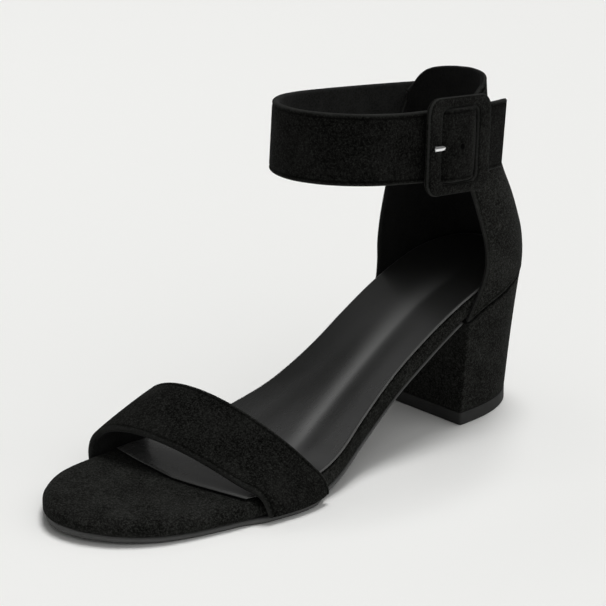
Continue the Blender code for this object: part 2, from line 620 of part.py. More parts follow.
def column(name, rings, spec, group, columns=6):
    """Solid from stacked D outlines, both end faces filled with rows across the width."""
    rings = np.asarray(rings)
    count, size = rings.shape[:2]
    verts = list(rings.reshape(-1, 3))
    faces = []
    front = []
    for k in range(count):
        a, b = rings[k, 0], rings[k, -1]
        inner = []
        for c in range(1, columns):
            inner.append(len(verts))
            verts.append(a + (b - a) * c / columns)
        front.append([k * size, *inner, k * size + size - 1])
    for k in range(count - 1):
        for i in range(size - 1):
            faces.append((k * size + i, k * size + i + 1, (k + 1) * size + i + 1, (k + 1) * size + i))
        for c in range(columns):
            faces.append((front[k][c], front[k][c + 1], front[k + 1][c + 1], front[k + 1][c]))
    for k in (0, count - 1):
        lines = [front[k]]
        for i in range(1, size // 2):
            a, b = k * size + i, k * size + size - 1 - i
            inner = []
            for c in range(1, columns):
                inner.append(len(verts))
                verts.append(verts[a] + (verts[b] - verts[a]) * c / columns)
            lines.append([a, *inner, b])
        for here, after in zip(lines[:-1], lines[1:]):
            faces += [(here[c], here[c + 1], after[c + 1], after[c]) for c in range(columns)]
        if size % 2:
            tip = k * size + size // 2
            faces += [(tip, lines[-1][c], lines[-1][c + 1]) for c in range(columns)]
    return add_piece(name, verts, faces, spec, group)


def make_heel(group):
    """Block heel and its rubber tip."""
    count = 21
    low = d_shape(TIP["half"], TIP["half"], TIP["breast"], TIP["turn"], TIP["back"], count)
    high = d_shape(SEAT_LATERAL, SEAT_MEDIAL, SEAT_BREAST, BACK_TURN, SEAT_BACK, count)
    roof = base_bottom(high[:, 1]) - GAP
    floor = np.full(len(low), TIP_THICK + GAP)
    rings = []
    for s in (0.0, 0.25, 0.5, 0.75, 1.0):
        waist = 1.0 - HEEL_WAIST * np.sin(np.pi * s)
        plan = low + (high - low) * s
        plan = np.column_stack([plan[:, 0] * waist, plan[:, 1]])
        rings.append(np.column_stack([plan, floor + (roof - floor) * s]))
    column("heel_block", rings, SUEDE, group)
    small = np.array([0.0, (TIP["breast"] + TIP["back"]) / 2])
    tip = []
    for share, height in TIP_RINGS:
        plan = small + (low - small) * share
        tip.append(np.column_stack([plan, np.full(len(plan), height)]))
    column("heel_tip", tip, TOP_PIECE, group)


def centre_on_floor(group, cutters):
    """Move everything so that the middle of the sandal's plan lies over the origin."""
    corners = np.array([v.co[:] for item in group.objects for v in item.data.vertices])
    shift = -(corners.min(axis=0) + corners.max(axis=0)) / 2
    for item in [*group.objects, *cutters.objects]:
        place = np.array([v.co[:] for v in item.data.vertices])
        place[:, :2] += shift[:2]
        item.data.vertices.foreach_set("co", place.ravel())
        item.data.update()


def main():
    """Build every piece of the sandal."""
    clear_scene()
    group = collection("block_heel_sandal")
    cutters = collection("cutters")
    cutters.hide_render = True
    make_base(group)
    make_toe_strap(group)
    make_counter(group)
    make_ankle_strap(group, cutters)
    make_buckle(group, cutters)
    make_tab(group, cutters)
    make_heel(group)
    centre_on_floor(group, cutters)


main()
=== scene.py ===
# %% [markdown]
# # A block heel sandal, piece by piece
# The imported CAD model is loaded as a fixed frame. It has the true sizes; each cell after this
# one dresses one piece of it with a finer surface and a finish. Everything is in millimetres
# until a mesh is made, and the frame says where the shoe stands on its floor.

# %% Load the frame
import bmesh
import bpy
import numpy as np
from mathutils import Matrix, Vector


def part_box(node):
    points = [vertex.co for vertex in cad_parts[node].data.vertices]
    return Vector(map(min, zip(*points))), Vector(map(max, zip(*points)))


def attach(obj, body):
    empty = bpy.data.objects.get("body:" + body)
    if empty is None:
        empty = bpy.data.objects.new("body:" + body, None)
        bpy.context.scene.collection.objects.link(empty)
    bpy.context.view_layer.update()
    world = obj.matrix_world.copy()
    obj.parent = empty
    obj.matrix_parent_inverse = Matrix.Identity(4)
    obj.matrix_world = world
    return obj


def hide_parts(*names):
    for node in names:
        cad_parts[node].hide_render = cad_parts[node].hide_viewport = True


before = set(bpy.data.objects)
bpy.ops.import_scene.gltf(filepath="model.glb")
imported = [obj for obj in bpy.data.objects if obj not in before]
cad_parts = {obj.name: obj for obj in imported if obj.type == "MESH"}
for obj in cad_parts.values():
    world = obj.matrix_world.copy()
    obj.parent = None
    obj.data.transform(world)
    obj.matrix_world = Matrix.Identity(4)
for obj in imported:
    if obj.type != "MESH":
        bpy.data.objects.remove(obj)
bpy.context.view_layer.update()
tip_low, tip_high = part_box("heel_tip")
MM = 0.001
HEEL_TIP_BREAST = 65.7
SHIFT = np.array([(tip_low[0] + tip_high[0]) / 2 / MM, tip_low[1] / MM - HEEL_TIP_BREAST, 0.0])
print("plan shift of the last's own axes (mm):", np.round(SHIFT, 2).tolist())

# %% [markdown]
# ## The camera
# The outlines in the photograph fix where the camera stood: about 49 degrees round from the
# toe to the buckle side and 16 degrees up, with a long lens and a slight roll. It is placed
# from those angles, so the perspective is the photograph's. From the same place it is then
# turned to the shoe's centre and zoomed until the shoe fills the frame.

# %% Camera
AZIMUTH, ELEVATION, ROLL = np.radians([49.06, 16.24, -1.19])
DISTANCE = 812.6
PHOTO_SIZE, PHOTO_FOCAL, SENSOR = 606, 1280.76, 36.0
TARGET = np.array([0.0, 0.0, 31.65]) + SHIFT
TARGET_PIXEL = np.array([323.3, 426.49])
TARGET_AT = (TARGET_PIXEL - PHOTO_SIZE / 2) / PHOTO_FOCAL
SHOE_CENTRE = np.array([0.0, 3.0, 62.0])
ZOOM = 1.62


def unit(v):
    """Each vector divided by its length."""
    v = np.asarray(v, dtype=float)
    return v / np.linalg.norm(v, axis=-1, keepdims=True)


back = np.array([np.sin(AZIMUTH) * np.cos(ELEVATION), -np.cos(AZIMUTH) * np.cos(ELEVATION),
                 np.sin(ELEVATION)])
level = np.array([np.cos(AZIMUTH), np.sin(AZIMUTH), 0.0])
upward = np.cross(back, level)
right = np.cos(ROLL) * level + np.sin(ROLL) * upward
top = np.cos(ROLL) * upward - np.sin(ROLL) * level
eye = TARGET + DISTANCE * (back - right * TARGET_AT[0] + top * TARGET_AT[1])
back = unit(eye - SHOE_CENTRE)
right = unit(right - back * np.dot(right, back))
top = np.cross(back, right)
lens = bpy.data.cameras.new("camera")
camera = bpy.data.objects.new("camera", lens)
bpy.context.scene.collection.objects.link(camera)
lens.sensor_width = SENSOR
lens.lens = SENSOR * (PHOTO_FOCAL / PHOTO_SIZE) * ZOOM
lens.clip_end = 100.0
turn = Matrix(np.column_stack([right, top, back]).tolist()).to_4x4()
camera.matrix_world = Matrix.Translation(Vector(eye * MM)) @ turn
bpy.context.scene.camera = camera
print("camera at (mm)", np.round(eye, 1).tolist(), "lens", round(lens.lens, 1))

# %% [markdown]
# ## Shader sums as plain Python
# A node tree is easier to read as a sum. `Value` wraps one output socket, so that
# `1 - mask * 0.4` adds the Math nodes itself. Colours go through Mix nodes instead.


# %% Shader helper
class Value:
    """One socket of a material, with arithmetic."""

    def __init__(self, finish, socket):
        self.finish, self.socket = finish, socket

    def sum(self, operation, *others):
        """A Math node of that operation on this value and the others."""
        return self.finish.node("ShaderNodeMath", {"operation": operation}, [self, *others])

    def __add__(self, other):
        return self.sum("ADD", other)

    def __mul__(self, other):
        return self.sum("MULTIPLY", other)

    def __sub__(self, other):
        return self.sum("SUBTRACT", other)

    def __rsub__(self, other):
        return self.finish.node("ShaderNodeMath", {"operation": "SUBTRACT"}, [other, self])

    def __pow__(self, other):
        return self.sum("POWER", other)

    __radd__, __rmul__ = __add__, __mul__

    def ramp(self, low, high):
        """0 at low, 1 at high, smooth between."""
        values = {"Value": self, "From Min": low, "From Max": high}
        return self.finish.node("ShaderNodeMapRange", {"interpolation_type": "SMOOTHSTEP"}, values)


class Finish:
    """A material with a Principled shader; constants are set on its own sockets."""

    def __init__(self, name, **constants):
        self.material = bpy.data.materials.new(name)
        self.material.use_nodes = True
        self.tree = self.material.node_tree
        self.shader = self.tree.nodes["Principled BSDF"]
        for key, value in constants.items():
            self.shader.inputs[key.replace("_", " ")].default_value = value

    def node(self, kind, settings=None, values=(), output=0):
        """A node of that kind: settings first, then socket values or links; gives one output."""
        made = self.tree.nodes.new(kind)
        for key, value in (settings or {}).items():
            setattr(made, key, value)
        pairs = values.items() if isinstance(values, dict) else enumerate(values)
        for key, value in pairs:
            self.feed(made.inputs[key], value)
        return Value(self, made.outputs[output])

    def feed(self, socket, value):
        """Link a Value, or set a plain number or colour."""
        if isinstance(value, Value):
            self.tree.links.new(value.socket, socket)
        else:
            socket.default_value = value

    def mix(self, share, a, b):
        """Colour a turning into b as share goes from 0 to 1."""
        made = self.tree.nodes.new("ShaderNodeMix")
        made.data_type = "RGBA"
        for key, value in (("Factor_Float", share), ("A_Color", a), ("B_Color", b)):
            self.feed(next(s for s in made.inputs if s.identifier == key), value)
        return Value(self, next(s for s in made.outputs if s.identifier == "Result_Color"))

    def place(self):
        """Object coordinates."""
        return self.node("ShaderNodeTexCoord", output="Object")

    def stretch(self, x, y, z):
        """Object coordinates scaled by three numbers."""
        return self.node("ShaderNodeMapping", None, {"Vector": self.place(), "Scale": (x, y, z)})

    def noise(self, scale, detail=3.0, rough=0.5, vector=None):
        """Noise from 0 to 1; scale is in repeats per metre."""
        values = {"Vector": vector or self.place(), "Scale": scale, "Detail": detail, "Roughness": rough}
        return self.node("ShaderNodeTexNoise", None, values)

    def attribute(self, name):
        """A number stored on the mesh."""
        return self.node("ShaderNodeAttribute", {"attribute_name": name}, output="Fac")

    def bump(self, height, strength, distance, under=None):
        """A bump from a height, on top of another bump."""
        values = {"Height": height, "Strength": strength, "Distance": distance}
        if under:
            values["Normal"] = under
        return self.node("ShaderNodeBump", None, values)

    def wear(self, **sockets):
        """Feed the shader's own sockets and return the material."""
        for key, value in sockets.items():
            self.feed(self.shader.inputs[key.replace("_", " ")], value)
        return self.material


# %% [markdown]
# ## Suede
# Brushed leather is almost black here, with a short nap. Three things show: specks of lighter
# fibre a few tenths of a millimetre across, soft patches where the nap lies another way, and
# a pale bloom where a surface turns edge-on. The bloom is the shader's sheen. Each mesh stores
# its distance to the edge in millimetres: the folded edge itself is painted paler, a painted
# highlight where the edge catches the light, and the line a little inside it, where the fold
# is held down, is darker.


# %% Suede
HOLE_RIM = (0.0009, 0.0013)


def suede(name, tone=1.0, bloom=0.03, holes=()):
    """Near-black nap: specks, patches, edges painted paler as a painted highlight, fine bump, and holes at
    points in metres painted dark as painted shade.
    """
    f = Finish(name, Sheen_Weight=bloom, Sheen_Roughness=0.45, Sheen_Tint=(0.75, 0.76, 0.74, 1.0),
               Specular_IOR_Level=0.02)
    fibre = f.noise(1500.0, 5.0, 0.75)
    tuft = f.noise(820.0, 4.0, 0.75)
    patch = f.noise(70.0, 3.0, 0.55)
    # Painted highlight: this mask makes the folded edges paler, where they catch the light.
    edge = 1 - f.attribute("edge").ramp(0.0, 1.3)
    seam = f.attribute("edge").ramp(1.2, 1.7) * (1 - f.attribute("edge").ramp(1.9, 2.5))
    base = (0.0012 * tone, 0.0013 * tone, 0.001 * tone, 1.0)
    pale = (0.031 * tone, 0.0316 * tone, 0.0294 * tone, 1.0)
    share = fibre.ramp(0.45, 0.66) * 0.46 + tuft.ramp(0.42, 0.66) * 0.24 + patch.ramp(0.4, 0.7) * 0.12
    colour = f.mix(share, base, pale)
    colour = f.mix(seam * 0.6, colour, base)
    colour = f.mix(edge * (0.25 + 0.6 * patch), colour, (0.04, 0.041, 0.039, 1.0))
    punched = 0.0
    for centre in holes:
        far = f.node("ShaderNodeVectorMath", {"operation": "DISTANCE"}, [f.place(), tuple(centre)], "Value")
        punched = punched + (1 - far.ramp(*HOLE_RIM))
    # Painted shade: each hole is coloured almost black, standing in for the shade inside it.
    if holes:
        colour = f.mix(punched, colour, (0.0006, 0.0006, 0.0006, 1.0))
    skin = f.bump(patch, 0.25, 0.0006)
    skin = f.bump(tuft, 0.7, 0.0003, skin)
    skin = f.bump(fibre, 0.9, 0.0002, skin)
    if holes:
        skin = f.bump(1 - punched, 1.0, 0.0006, skin)
    return f.wear(Base_Color=colour, Roughness=0.9 + 0.08 * patch, Normal=skin)


# The same suede at its own tone for each piece, set for how much light reaches it: lit and shaded copies of
# one material, painted light and shade. The ankle strap's copy below keeps tone 1.
upper_suede = suede("upper_suede", tone=1.2)
wrap_suede = suede("wrap_suede", tone=1.6)
back_suede = suede("back_suede", tone=1.8)
heel_suede = suede("heel_suede", tone=1.6)

# %% [markdown]
# ## Lining, rubber and steel
# The straps are backed with a brushed microfibre, a shade lighter than the suede, and the
# closed back with a darker one. The sock under the foot is smooth coated leather with a satin
# gloss. Its colour is painted paler under the toe strap and at the heel seat, painted light in
# their shade, with a painted highlight band along its ridge and painted highlights on its side
# edges. The outsole and the top piece of the heel are rubber. The prong is polished steel.


# %% Lining, sock, rubber, steel
def microfibre(name, tone):
    """Backing of the straps and the closed back: small pebbled grain."""
    f = Finish(name, Sheen_Weight=0.04, Sheen_Roughness=0.5, Specular_IOR_Level=0.08)
    grain = f.node("ShaderNodeTexVoronoi", {"feature": "SMOOTH_F1"}, {"Vector": f.place(), "Scale": 1500.0})
    drift = f.noise(160.0, 3.0)
    dark, pale, grey = (tuple(tone * c for c in (level, level * 1.02, level * 0.98)) + (1.0,)
                        for level in (0.006, 0.012, 0.024))
    colour = f.mix(drift.ramp(0.3, 0.75), dark, pale)
    colour = f.mix(grain.ramp(0.1, 0.6) * 0.4, colour, grey)
    return f.wear(Base_Color=colour, Roughness=0.75 + 0.1 * drift, Normal=f.bump(grain, 0.5, 0.00015))


def smooth_sock():
    """Coated leather: pores, faint creases, gloss duller at the heel; painted light at the heel seat and
    under the toe strap, a painted highlight band and painted highlights on the side edges.
    """
    f = Finish("sock_lining", Specular_IOR_Level=0.42, Coat_Weight=0.1, Coat_Roughness=0.35)
    along_foot = f.node("ShaderNodeSeparateXYZ", None, [f.place()], "Y")
    heel_end = along_foot.ramp(0.022, 0.068)
    toe_end = 1 - along_foot.ramp(-0.06, -0.025)
    cloud = f.noise(45.0, 4.0, 0.6)
    crease = f.noise(220.0, 3.0, 0.6, f.stretch(1.6, 0.5, 0.5))
    grain = f.noise(1100.0, 3.0, 0.6)
    colour = f.mix(cloud.ramp(0.3, 0.75), (0.0024, 0.0026, 0.0022, 1.0), (0.0055, 0.0057, 0.0053, 1.0))
    # Painted light: the heel seat's colour is lifted, standing in for light in its shade.
    colour = f.mix(heel_end * 0.8, colour, (0.015, 0.0152, 0.0147, 1.0))
    # Painted light: the front of the sock, under the toe strap, is painted paler to lift its shade.
    colour = f.mix(toe_end * 0.9, colour, (0.075, 0.0757, 0.0742, 1.0))
    # Painted highlight: a pale band along the ridge stands in for the satin's reflection of the strip light.
    colour = f.mix(f.attribute("highlight_band"), colour, (0.085, 0.0857, 0.0842, 1.0))
    # Painted highlight: the sock's side edges, not its front, are painted pale where they catch the light.
    rim = (1 - f.attribute("edge").ramp(0.25, 0.75)) * along_foot.ramp(-0.05, -0.03)
    colour = f.mix(rim * 0.7, colour, (0.13, 0.13, 0.128, 1.0))
    skin = f.bump(cloud, 0.15, 0.0005)
    skin = f.bump(crease, 0.06, 0.0001, skin)
    skin = f.bump(grain, 0.25, 0.00003, skin)
    dull = 0.23 + 0.06 * cloud + 0.03 * crease + 0.2 * heel_end
    return f.wear(Base_Color=colour, Roughness=dull, Normal=skin)


def rubber(name, tone, rough=0.6, rim=0.0):
    """Moulded rubber with fine sanding marks and a paler edge."""
    f = Finish(name, Specular_IOR_Level=0.15)
    grit = f.noise(1800.0, 3.0, 0.6)
    cloud = f.noise(90.0, 3.0)
    dark, light, pale = (tuple(c * share for c in tone) + (1.0,) for share in (0.85, 1.15, 2.6))
    colour = f.mix(cloud.ramp(0.3, 0.7), dark, light)
    paler_edge = (1 - f.attribute("edge").ramp(0.3, 1.0)) * rim
    colour = f.mix(paler_edge, colour, pale)
    return f.wear(Base_Color=colour, Roughness=rough + 0.12 * cloud, Normal=f.bump(grit, 0.3, 0.00008))


def steel():
    """Polished steel with faint polishing marks."""
    f = Finish("polished_steel", Metallic=1.0)
    marks = f.noise(900.0, 2.0, 0.5, f.stretch(0.3, 1.0, 2.0))
    colour = f.mix(marks, (0.78, 0.79, 0.8, 1.0), (0.88, 0.88, 0.88, 1.0))
    return f.wear(Base_Color=colour, Roughness=0.12 + 0.1 * marks)


strap_lining = microfibre("strap_lining", 1.25)
back_lining = microfibre("back_lining", 0.5)
sock_lining = smooth_sock()
sole_rubber = rubber("sole_rubber", (0.05, 0.0503, 0.0495), rim=0.5)
tip_rubber = rubber("tip_rubber", (0.03, 0.0302, 0.0296), 0.7, rim=1.0)
bright_steel = steel()
print("finishes:", len(bpy.data.materials))

# %% [markdown]
# ## Measured tables
# These are the shoe's own sizes, the same as in the CAD: the outline of the footbed, the
# height of the sole body along the foot, the closed back, the straps and the buckle. The
# ankle strap is a little wider and fuller here, and the prong bends a little further forward.

# %% Tables (mm)
GAP = 0.3
HALF_LENGTH = 114.0
OUTLINE = np.array([
    (0.0, -7.7, -7.7), (1.2, -14.6, 0.0), (4.0, -20.5, 7.3), (12.0, -30.7, 18.2), (25.0, -39.1, 27.5),
    (45.0, -42.4, 34.3), (65.0, -42.5, 38.4), (82.0, -39.3, 40.4), (100.0, -32.8, 37.4),
    (120.0, -25.6, 31.1), (140.0, -22.4, 27.3), (160.0, -22.8, 26.2), (180.0, -24.0, 25.6),
    (200.0, -24.4, 25.2), (208.0, -22.9, 23.6), (214.0, -20.3, 21.0), (219.0, -16.7, 17.3),
    (223.0, -11.8, 12.3), (225.2, -7.0, 7.3), (226.2, 0.0, 0.0)])
PROFILE = np.array([
    (0.0, 11.6, 1.9), (12.0, 10.9, 1.1), (24.0, 10.5, 0.4), (38.0, 10.1, 0.0), (57.0, 9.6, 0.0),
    (76.0, 9.5, 0.0), (86.0, 10.3, 0.7), (95.0, 12.1, 2.3), (107.5, 16.8, 6.5), (120.0, 22.5, 11.9),
    (132.5, 29.3, 18.5), (145.0, 36.3, 25.6), (157.5, 43.0, 32.5), (170.0, 49.0, 39.1),
    (182.0, 53.9, 44.9), (190.0, 56.7, 48.2), (200.0, 59.8, 51.5), (210.0, 62.5, 54.7),
    (218.0, 64.4, 56.9), (230.0, 66.4, 59.2)])
SOCK_FRONT = np.array([
    (-45.0, 52.5), (-21.0, 50.5), (-1.0, 49.9), (8.0, 51.6), (23.0, 55.3), (35.0, 58.3), (45.0, 61.0)])
TOE_EDGES = {
    "front": {"lateral": (62.2, 8.0, 5.2), "medial": (43.4, 37.3, 9.1)},
    "rear": {"lateral": (90.8, 13.4, 4.3), "medial": (74.0, 62.3, 12.4)}}
HANDLE_SLIP = 10.0
BACK = np.array([
    (44.0, 27.8, 27.0, 113.6, 66.6, 66.0), (51.0, 27.9, 27.1, 114.9, 71.0, 68.0),
    (58.0, 28.0, 27.3, 116.0, 75.4, 69.0), (66.0, 28.0, 27.4, 116.6, 78.4, 69.2),
    (74.0, 27.6, 27.0, 115.6, 78.4, 69.8), (82.0, 27.0, 26.5, 112.8, 76.6, 71.0),
    (91.0, 26.0, 25.5, 109.0, 74.2, 72.4), (102.0, 24.6, 24.4, 102.9, 71.4, 75.0),
    (112.0, 23.9, 23.9, 98.0, 69.8, 77.0), (122.0, 23.4, 23.6, 94.4, 69.6, 80.5),
    (132.0, 21.2, 22.6, 90.4, 71.0, 84.5), (143.0, 19.8, 21.2, 90.9, 73.0, 87.0)])
BACK_TURN = 82.0
BACK_POWER = 2.15
BACK_RIM = np.array([
    (0.0, 128.5), (0.05, 133.8), (0.12, 138.2), (0.2, 141.2), (0.28, 142.5), (0.36, 142.9),
    (0.44, 142.8), (0.52, 142.1), (0.6, 141.0), (0.66, 139.9), (0.71, 138.3), (0.75, 136.2),
    (0.8, 132.8), (0.86, 130.0), (0.93, 127.4), (1.0, 124.5)])
ANKLE = np.array([
    (-24.9, 88.2), (-26.0, 82.0), (-27.0, 75.1), (-28.6, 63.6), (-29.8, 52.0), (-30.7, 40.4),
    (-30.8, 28.7), (-28.1, 17.4), (-21.3, 8.1), (-11.3, 2.1), (0.2, 0.3), (11.2, 3.7), (20.0, 11.3),
    (25.9, 21.3), (28.9, 32.6), (30.0, 44.2), (29.8, 55.9), (28.7, 67.5), (27.4, 79.1), (25.2, 88.2)])
OUTSOLE, OUTSOLE_END, OUTSOLE_INSET = 2.3, 1.0, 0.8
SOCK, EDGE_BEAD = 1.1, 7.0
WALL = 2.2
STRAP, TOE_STRAP, TAB = 2.5, 2.6, 1.0
ANKLE_WIDTH, ANKLE_HEIGHT, ANKLE_PITCH, ANKLE_ROLL = 27.7, 122.9, -0.09, 0.03
BUCKLE_CENTRE = np.array((32.95, 54.4, 122.8))
BUCKLE_ALONG = np.array((-0.05, 1.0, -0.11))
BUCKLE_UP = np.array((-0.06, 0.11, 1.0))
FRAME_SIZE, WINDOW_SIZE, FRAME_THICK = (36.6, 37.8), (20.5, 28.8), 4.0
BAR_DEPTH, BAR_RADIUS, PRONG_RADIUS = -1.6, 0.8, 0.95
STRAP_LOW, STRAP_HIGH, WEAVE, WEAVE_FLAT, BULGE = -3.6, 2.1, 13.9, 1.7, 1.8
WINDOW_SPREAD = 0.9
PRONG = np.array([
    (2.1, -2.6), (0.9, -3.5), (-0.9, -3.6), (-3.0, -3.4), (-5.2, -2.9), (-7.4, -1.9), (-8.9, -0.6),
    (-9.7, 0.7), (-10.6, 1.9), (-12.0, 2.4), (-14.0, 2.45), (-16.3, 2.25)])
TIP_HALF, TIP_TURN, TIP_BACK, TIP_THICK = 25.4, 72.0, 109.4, 5.5
SEAT_BREAST, SEAT_LATERAL, SEAT_MEDIAL, SEAT_BACK = 67.9, 27.9, 27.1, 115.0

# %% [markdown]
# ## Curves through the tables, and grids into meshes
# A smooth line through a table is a Hermite curve whose slope at each point comes from its
# neighbours. Every new piece is a grid of points worked out as one array. A thin piece is a
# middle surface with a thickness that falls to nothing along a quarter circle at its edges,
# which is what a folded or bound edge looks like.


# %% Curve and mesh helpers
def hermite(xs, ys, x):
    """Cubic between neighbouring points, with the slopes that the neighbours give."""
    slope = np.gradient(ys, xs)
    x = np.clip(x, xs[0], xs[-1])
    i = np.clip(np.searchsorted(xs, x) - 1, 0, len(xs) - 2)
    step = xs[i + 1] - xs[i]
    s = (x - xs[i]) / step
    return ((1 + 2 * s) * (1 - s) ** 2 * ys[i] + s * (1 - s) ** 2 * step * slope[i]
            + s * s * (3 - 2 * s) * ys[i + 1] - s * s * (1 - s) * step * slope[i + 1])


def distance(line):
    """Distance run along a line of points, from its first one."""
    return np.concatenate([[0.0], np.cumsum(np.linalg.norm(np.diff(line, axis=0), axis=1))])


def at_shares(line, share):
    """Points at shares of the length of a line of points."""
    run = distance(line)
    return np.stack([np.interp(share * run[-1], run, column) for column in line.T], axis=1)


def along(points, share):
    """Points at shares of the length of the smooth line through the given points."""
    reach = distance(points)
    fine = np.linspace(0.0, reach[-1], 60 * len(points))
    return at_shares(np.stack([hermite(reach, column, fine) for column in points.T], axis=1), share)


def smooth(x, low, high):
    """0 below low, 1 above high, and 3s2 - 2s3 between."""
    s = np.clip((x - low) / (high - low), 0.0, 1.0)
    return s * s * (3 - 2 * s)


def spread(count, ease=0.9):
    """Numbers from 0 to 1, closer together at both ends."""
    s = np.linspace(0, 1, count)
    return s - ease * np.sin(2 * np.pi * s) / (2 * np.pi)


def into_mesh(name, points, faces, materials, slots=None, edge=None):
    """Mesh object in metres from points in millimetres; doubles merged, faces outward, smooth."""
    mesh = bpy.data.meshes.new(name)
    points = (np.asarray(points, dtype=float) + SHIFT) * MM
    mesh.from_pydata(points.tolist(), [], faces)
    for m in materials:
        mesh.materials.append(m)
    if slots is not None:
        mesh.polygons.foreach_set("material_index", np.asarray(slots, dtype=np.int32))
    if edge is not None:
        layer = mesh.attributes.new("edge", "FLOAT", "POINT")
        layer.data.foreach_set("value", np.asarray(edge, dtype=np.float32))
    item = bpy.data.objects.new(name, mesh)
    bpy.context.scene.collection.objects.link(item)
    work = bmesh.new()
    work.from_mesh(mesh)
    bmesh.ops.remove_doubles(work, verts=work.verts, dist=0.00002)
    bmesh.ops.recalc_face_normals(work, faces=work.faces)
    work.to_mesh(mesh)
    work.free()
    mesh.polygons.foreach_set("use_smooth", [True] * len(mesh.polygons))
    print(name, "faces", len(mesh.polygons))
    return item


def quads(rows, cols, first=0, wrap_rows=False, wrap_cols=False):
    """Faces of a grid of points laid out row by row."""
    r = np.arange(rows if wrap_rows else rows - 1)[:, None]
    c = np.arange(cols if wrap_cols else cols - 1)[None, :]
    r2, c2 = (r + 1) % rows, (c + 1) % cols
    corner = np.stack([r * cols + c, r * cols + c2, r2 * cols + c2, r2 * cols + c], axis=-1)
    return (corner.reshape(-1, 4) + first).tolist()


def spots(item):
    """A mesh's vertices in millimetres, in the shoe's own axes."""
    flat = np.empty(3 * len(item.data.vertices))
    item.data.vertices.foreach_get("co", flat)
    return flat.reshape(-1, 3) / MM - SHIFT


def lengths(grid, axis):
    """Distance run along an axis of a grid of points, from its first line."""
    step = np.linalg.norm(np.diff(grid, axis=axis), axis=-1)
    zero = np.zeros_like(np.take(step, [0], axis=axis))
    return np.concatenate([zero, np.cumsum(step, axis=axis)], axis=axis)


SEAM_IN, SEAM_WIDE = 1.8, 0.4


def shell(name, middle, half, materials, edge_round=0.8, round_ends=True, crown=0.0,
          groove=0.0, plain_ends=False):
    """Closed thin piece: middle surface plus and minus a thickness along its normal.

    The thickness is half * sqrt(1 - (1 - d/r)^2) within r of an edge, d being the distance to
    it, and half * (1 + crown * (1 - v^2)) further in, v going from -1 to 1 across the piece.
    A seam a little inside the edge pulls the outer face in by a bell-shaped groove. The last
    option leaves the two ends out of the stored distance to the edge.
    """
    rows, cols = middle.shape[:2]
    normal = unit(np.cross(np.gradient(middle, axis=0), np.gradient(middle, axis=1)))
    run, across = lengths(middle, 0), lengths(middle, 1)
    far = np.minimum(across, across[:, -1:] - across)
    if round_ends:
        far = np.minimum(far, np.minimum(run, run[-1:] - run))
    near = np.clip(1 - far / edge_round, 0.0, 1.0)
    mark = np.minimum(across, across[:, -1:] - across) if plain_ends else far
    v = 2 * across / across[:, -1:] - 1
    depth = half * np.sqrt(1 - near ** 2) * (1 + crown * (1 - v ** 2))
    pulled = groove * np.exp(-((far - SEAM_IN) / SEAM_WIDE) ** 2)
    outer = middle + normal * (depth - pulled)[..., None]
    inner = middle - normal * depth[..., None]
    points = np.concatenate([outer.reshape(-1, 3), inner.reshape(-1, 3)])
    size = rows * cols
    faces = quads(rows, cols) + quads(rows, cols, size)
    slots = [0] * (len(faces) // 2) + [min(1, len(materials) - 1)] * (len(faces) // 2)
    if not round_ends:
        ends = np.concatenate([np.arange(cols), np.arange(cols) + size])
        for start in (0, (rows - 1) * cols):
            line = ends[:cols] + start
            other = ends[cols:] + start
            faces += np.column_stack([line[:-1], line[1:], other[1:], other[:-1]]).tolist()
        slots += [0] * (2 * (cols - 1))
    return into_mesh(name, points, faces, materials, slots, np.tile(mark.ravel(), 2))


# %% [markdown]
# ## The last: one sole line for every layer
# Outsole, footbed and sock all follow the last, the foot shape that a shoe is built on. Their
# heights are curves along the foot and their outlines are one closed line moved inward.


# %% Sole lines
BETWEEN = 24


def base_top(y):
    """Height of the sock's top at y."""
    return hermite(PROFILE[:, 0], PROFILE[:, 1], y + HALF_LENGTH)


def base_bottom(y):
    """Height of the sole's underside at y, never below the floor."""
    return np.maximum(hermite(PROFILE[:, 0], PROFILE[:, 2], y + HALF_LENGTH), 0.0)


def outsole_thick(y):
    """Full thickness in front, skived thin towards the heel breast."""
    return OUTSOLE + (OUTSOLE_END - OUTSOLE) * smooth(y, -30.0, 30.0)


def footbed_bottom(y):
    """On the outsole, and behind the breast on the heel block."""
    return base_bottom(y) + (outsole_thick(y) + 1.5 * GAP) * (1 - smooth(y, 67.5, 71.5))


def toe_share(y):
    """1 at the toe and under the toe strap, 0 from the arch on."""
    return 1 - smooth(y, -48.0, -2.0)


def sock_inset(y):
    """The sock stays inside the rounded shoulder of the footbed: wide there, close behind."""
    return 0.7 + 3.9 * toe_share(y)


def halves(inset, share):
    """Lateral and medial side of the outline moved in by inset, at shares of their length."""
    lateral = np.stack([OUTLINE[:, 2], OUTLINE[:, 0] - HALF_LENGTH], axis=1)
    medial = np.stack([OUTLINE[:, 1], OUTLINE[:, 0] - HALF_LENGTH], axis=1)
    loop = np.concatenate([lateral, medial[-2:0:-1]])
    ahead = np.roll(loop, -1, axis=0)
    chord = np.linalg.norm(ahead - loop, axis=1)
    slope = (ahead - np.roll(loop, 1, axis=0)) / (chord + np.roll(chord, 1))[:, None]
    s = np.linspace(0, 1, BETWEEN, endpoint=False)[None, :, None]
    step = chord[:, None, None]
    fine = ((1 + 2 * s) * (1 - s) ** 2 * loop[:, None] + s * (1 - s) ** 2 * step * slope[:, None]
            + s * s * (3 - 2 * s) * ahead[:, None]
            - s * s * (1 - s) * step * np.roll(slope, -1, axis=0)[:, None]).reshape(-1, 2)
    turn = unit(np.roll(fine, -1, axis=0) - np.roll(fine, 1, axis=0))
    push = inset(fine[:, 1])[:, None] if callable(inset) else inset
    fine = fine + push * np.stack([-turn[:, 1], turn[:, 0]], axis=1)
    heel = BETWEEN * (len(OUTLINE) - 1)
    return [at_shares(side, share)
            for side in (fine[:heel + 1], np.concatenate([fine[:1], fine[:heel - 1:-1]]))]


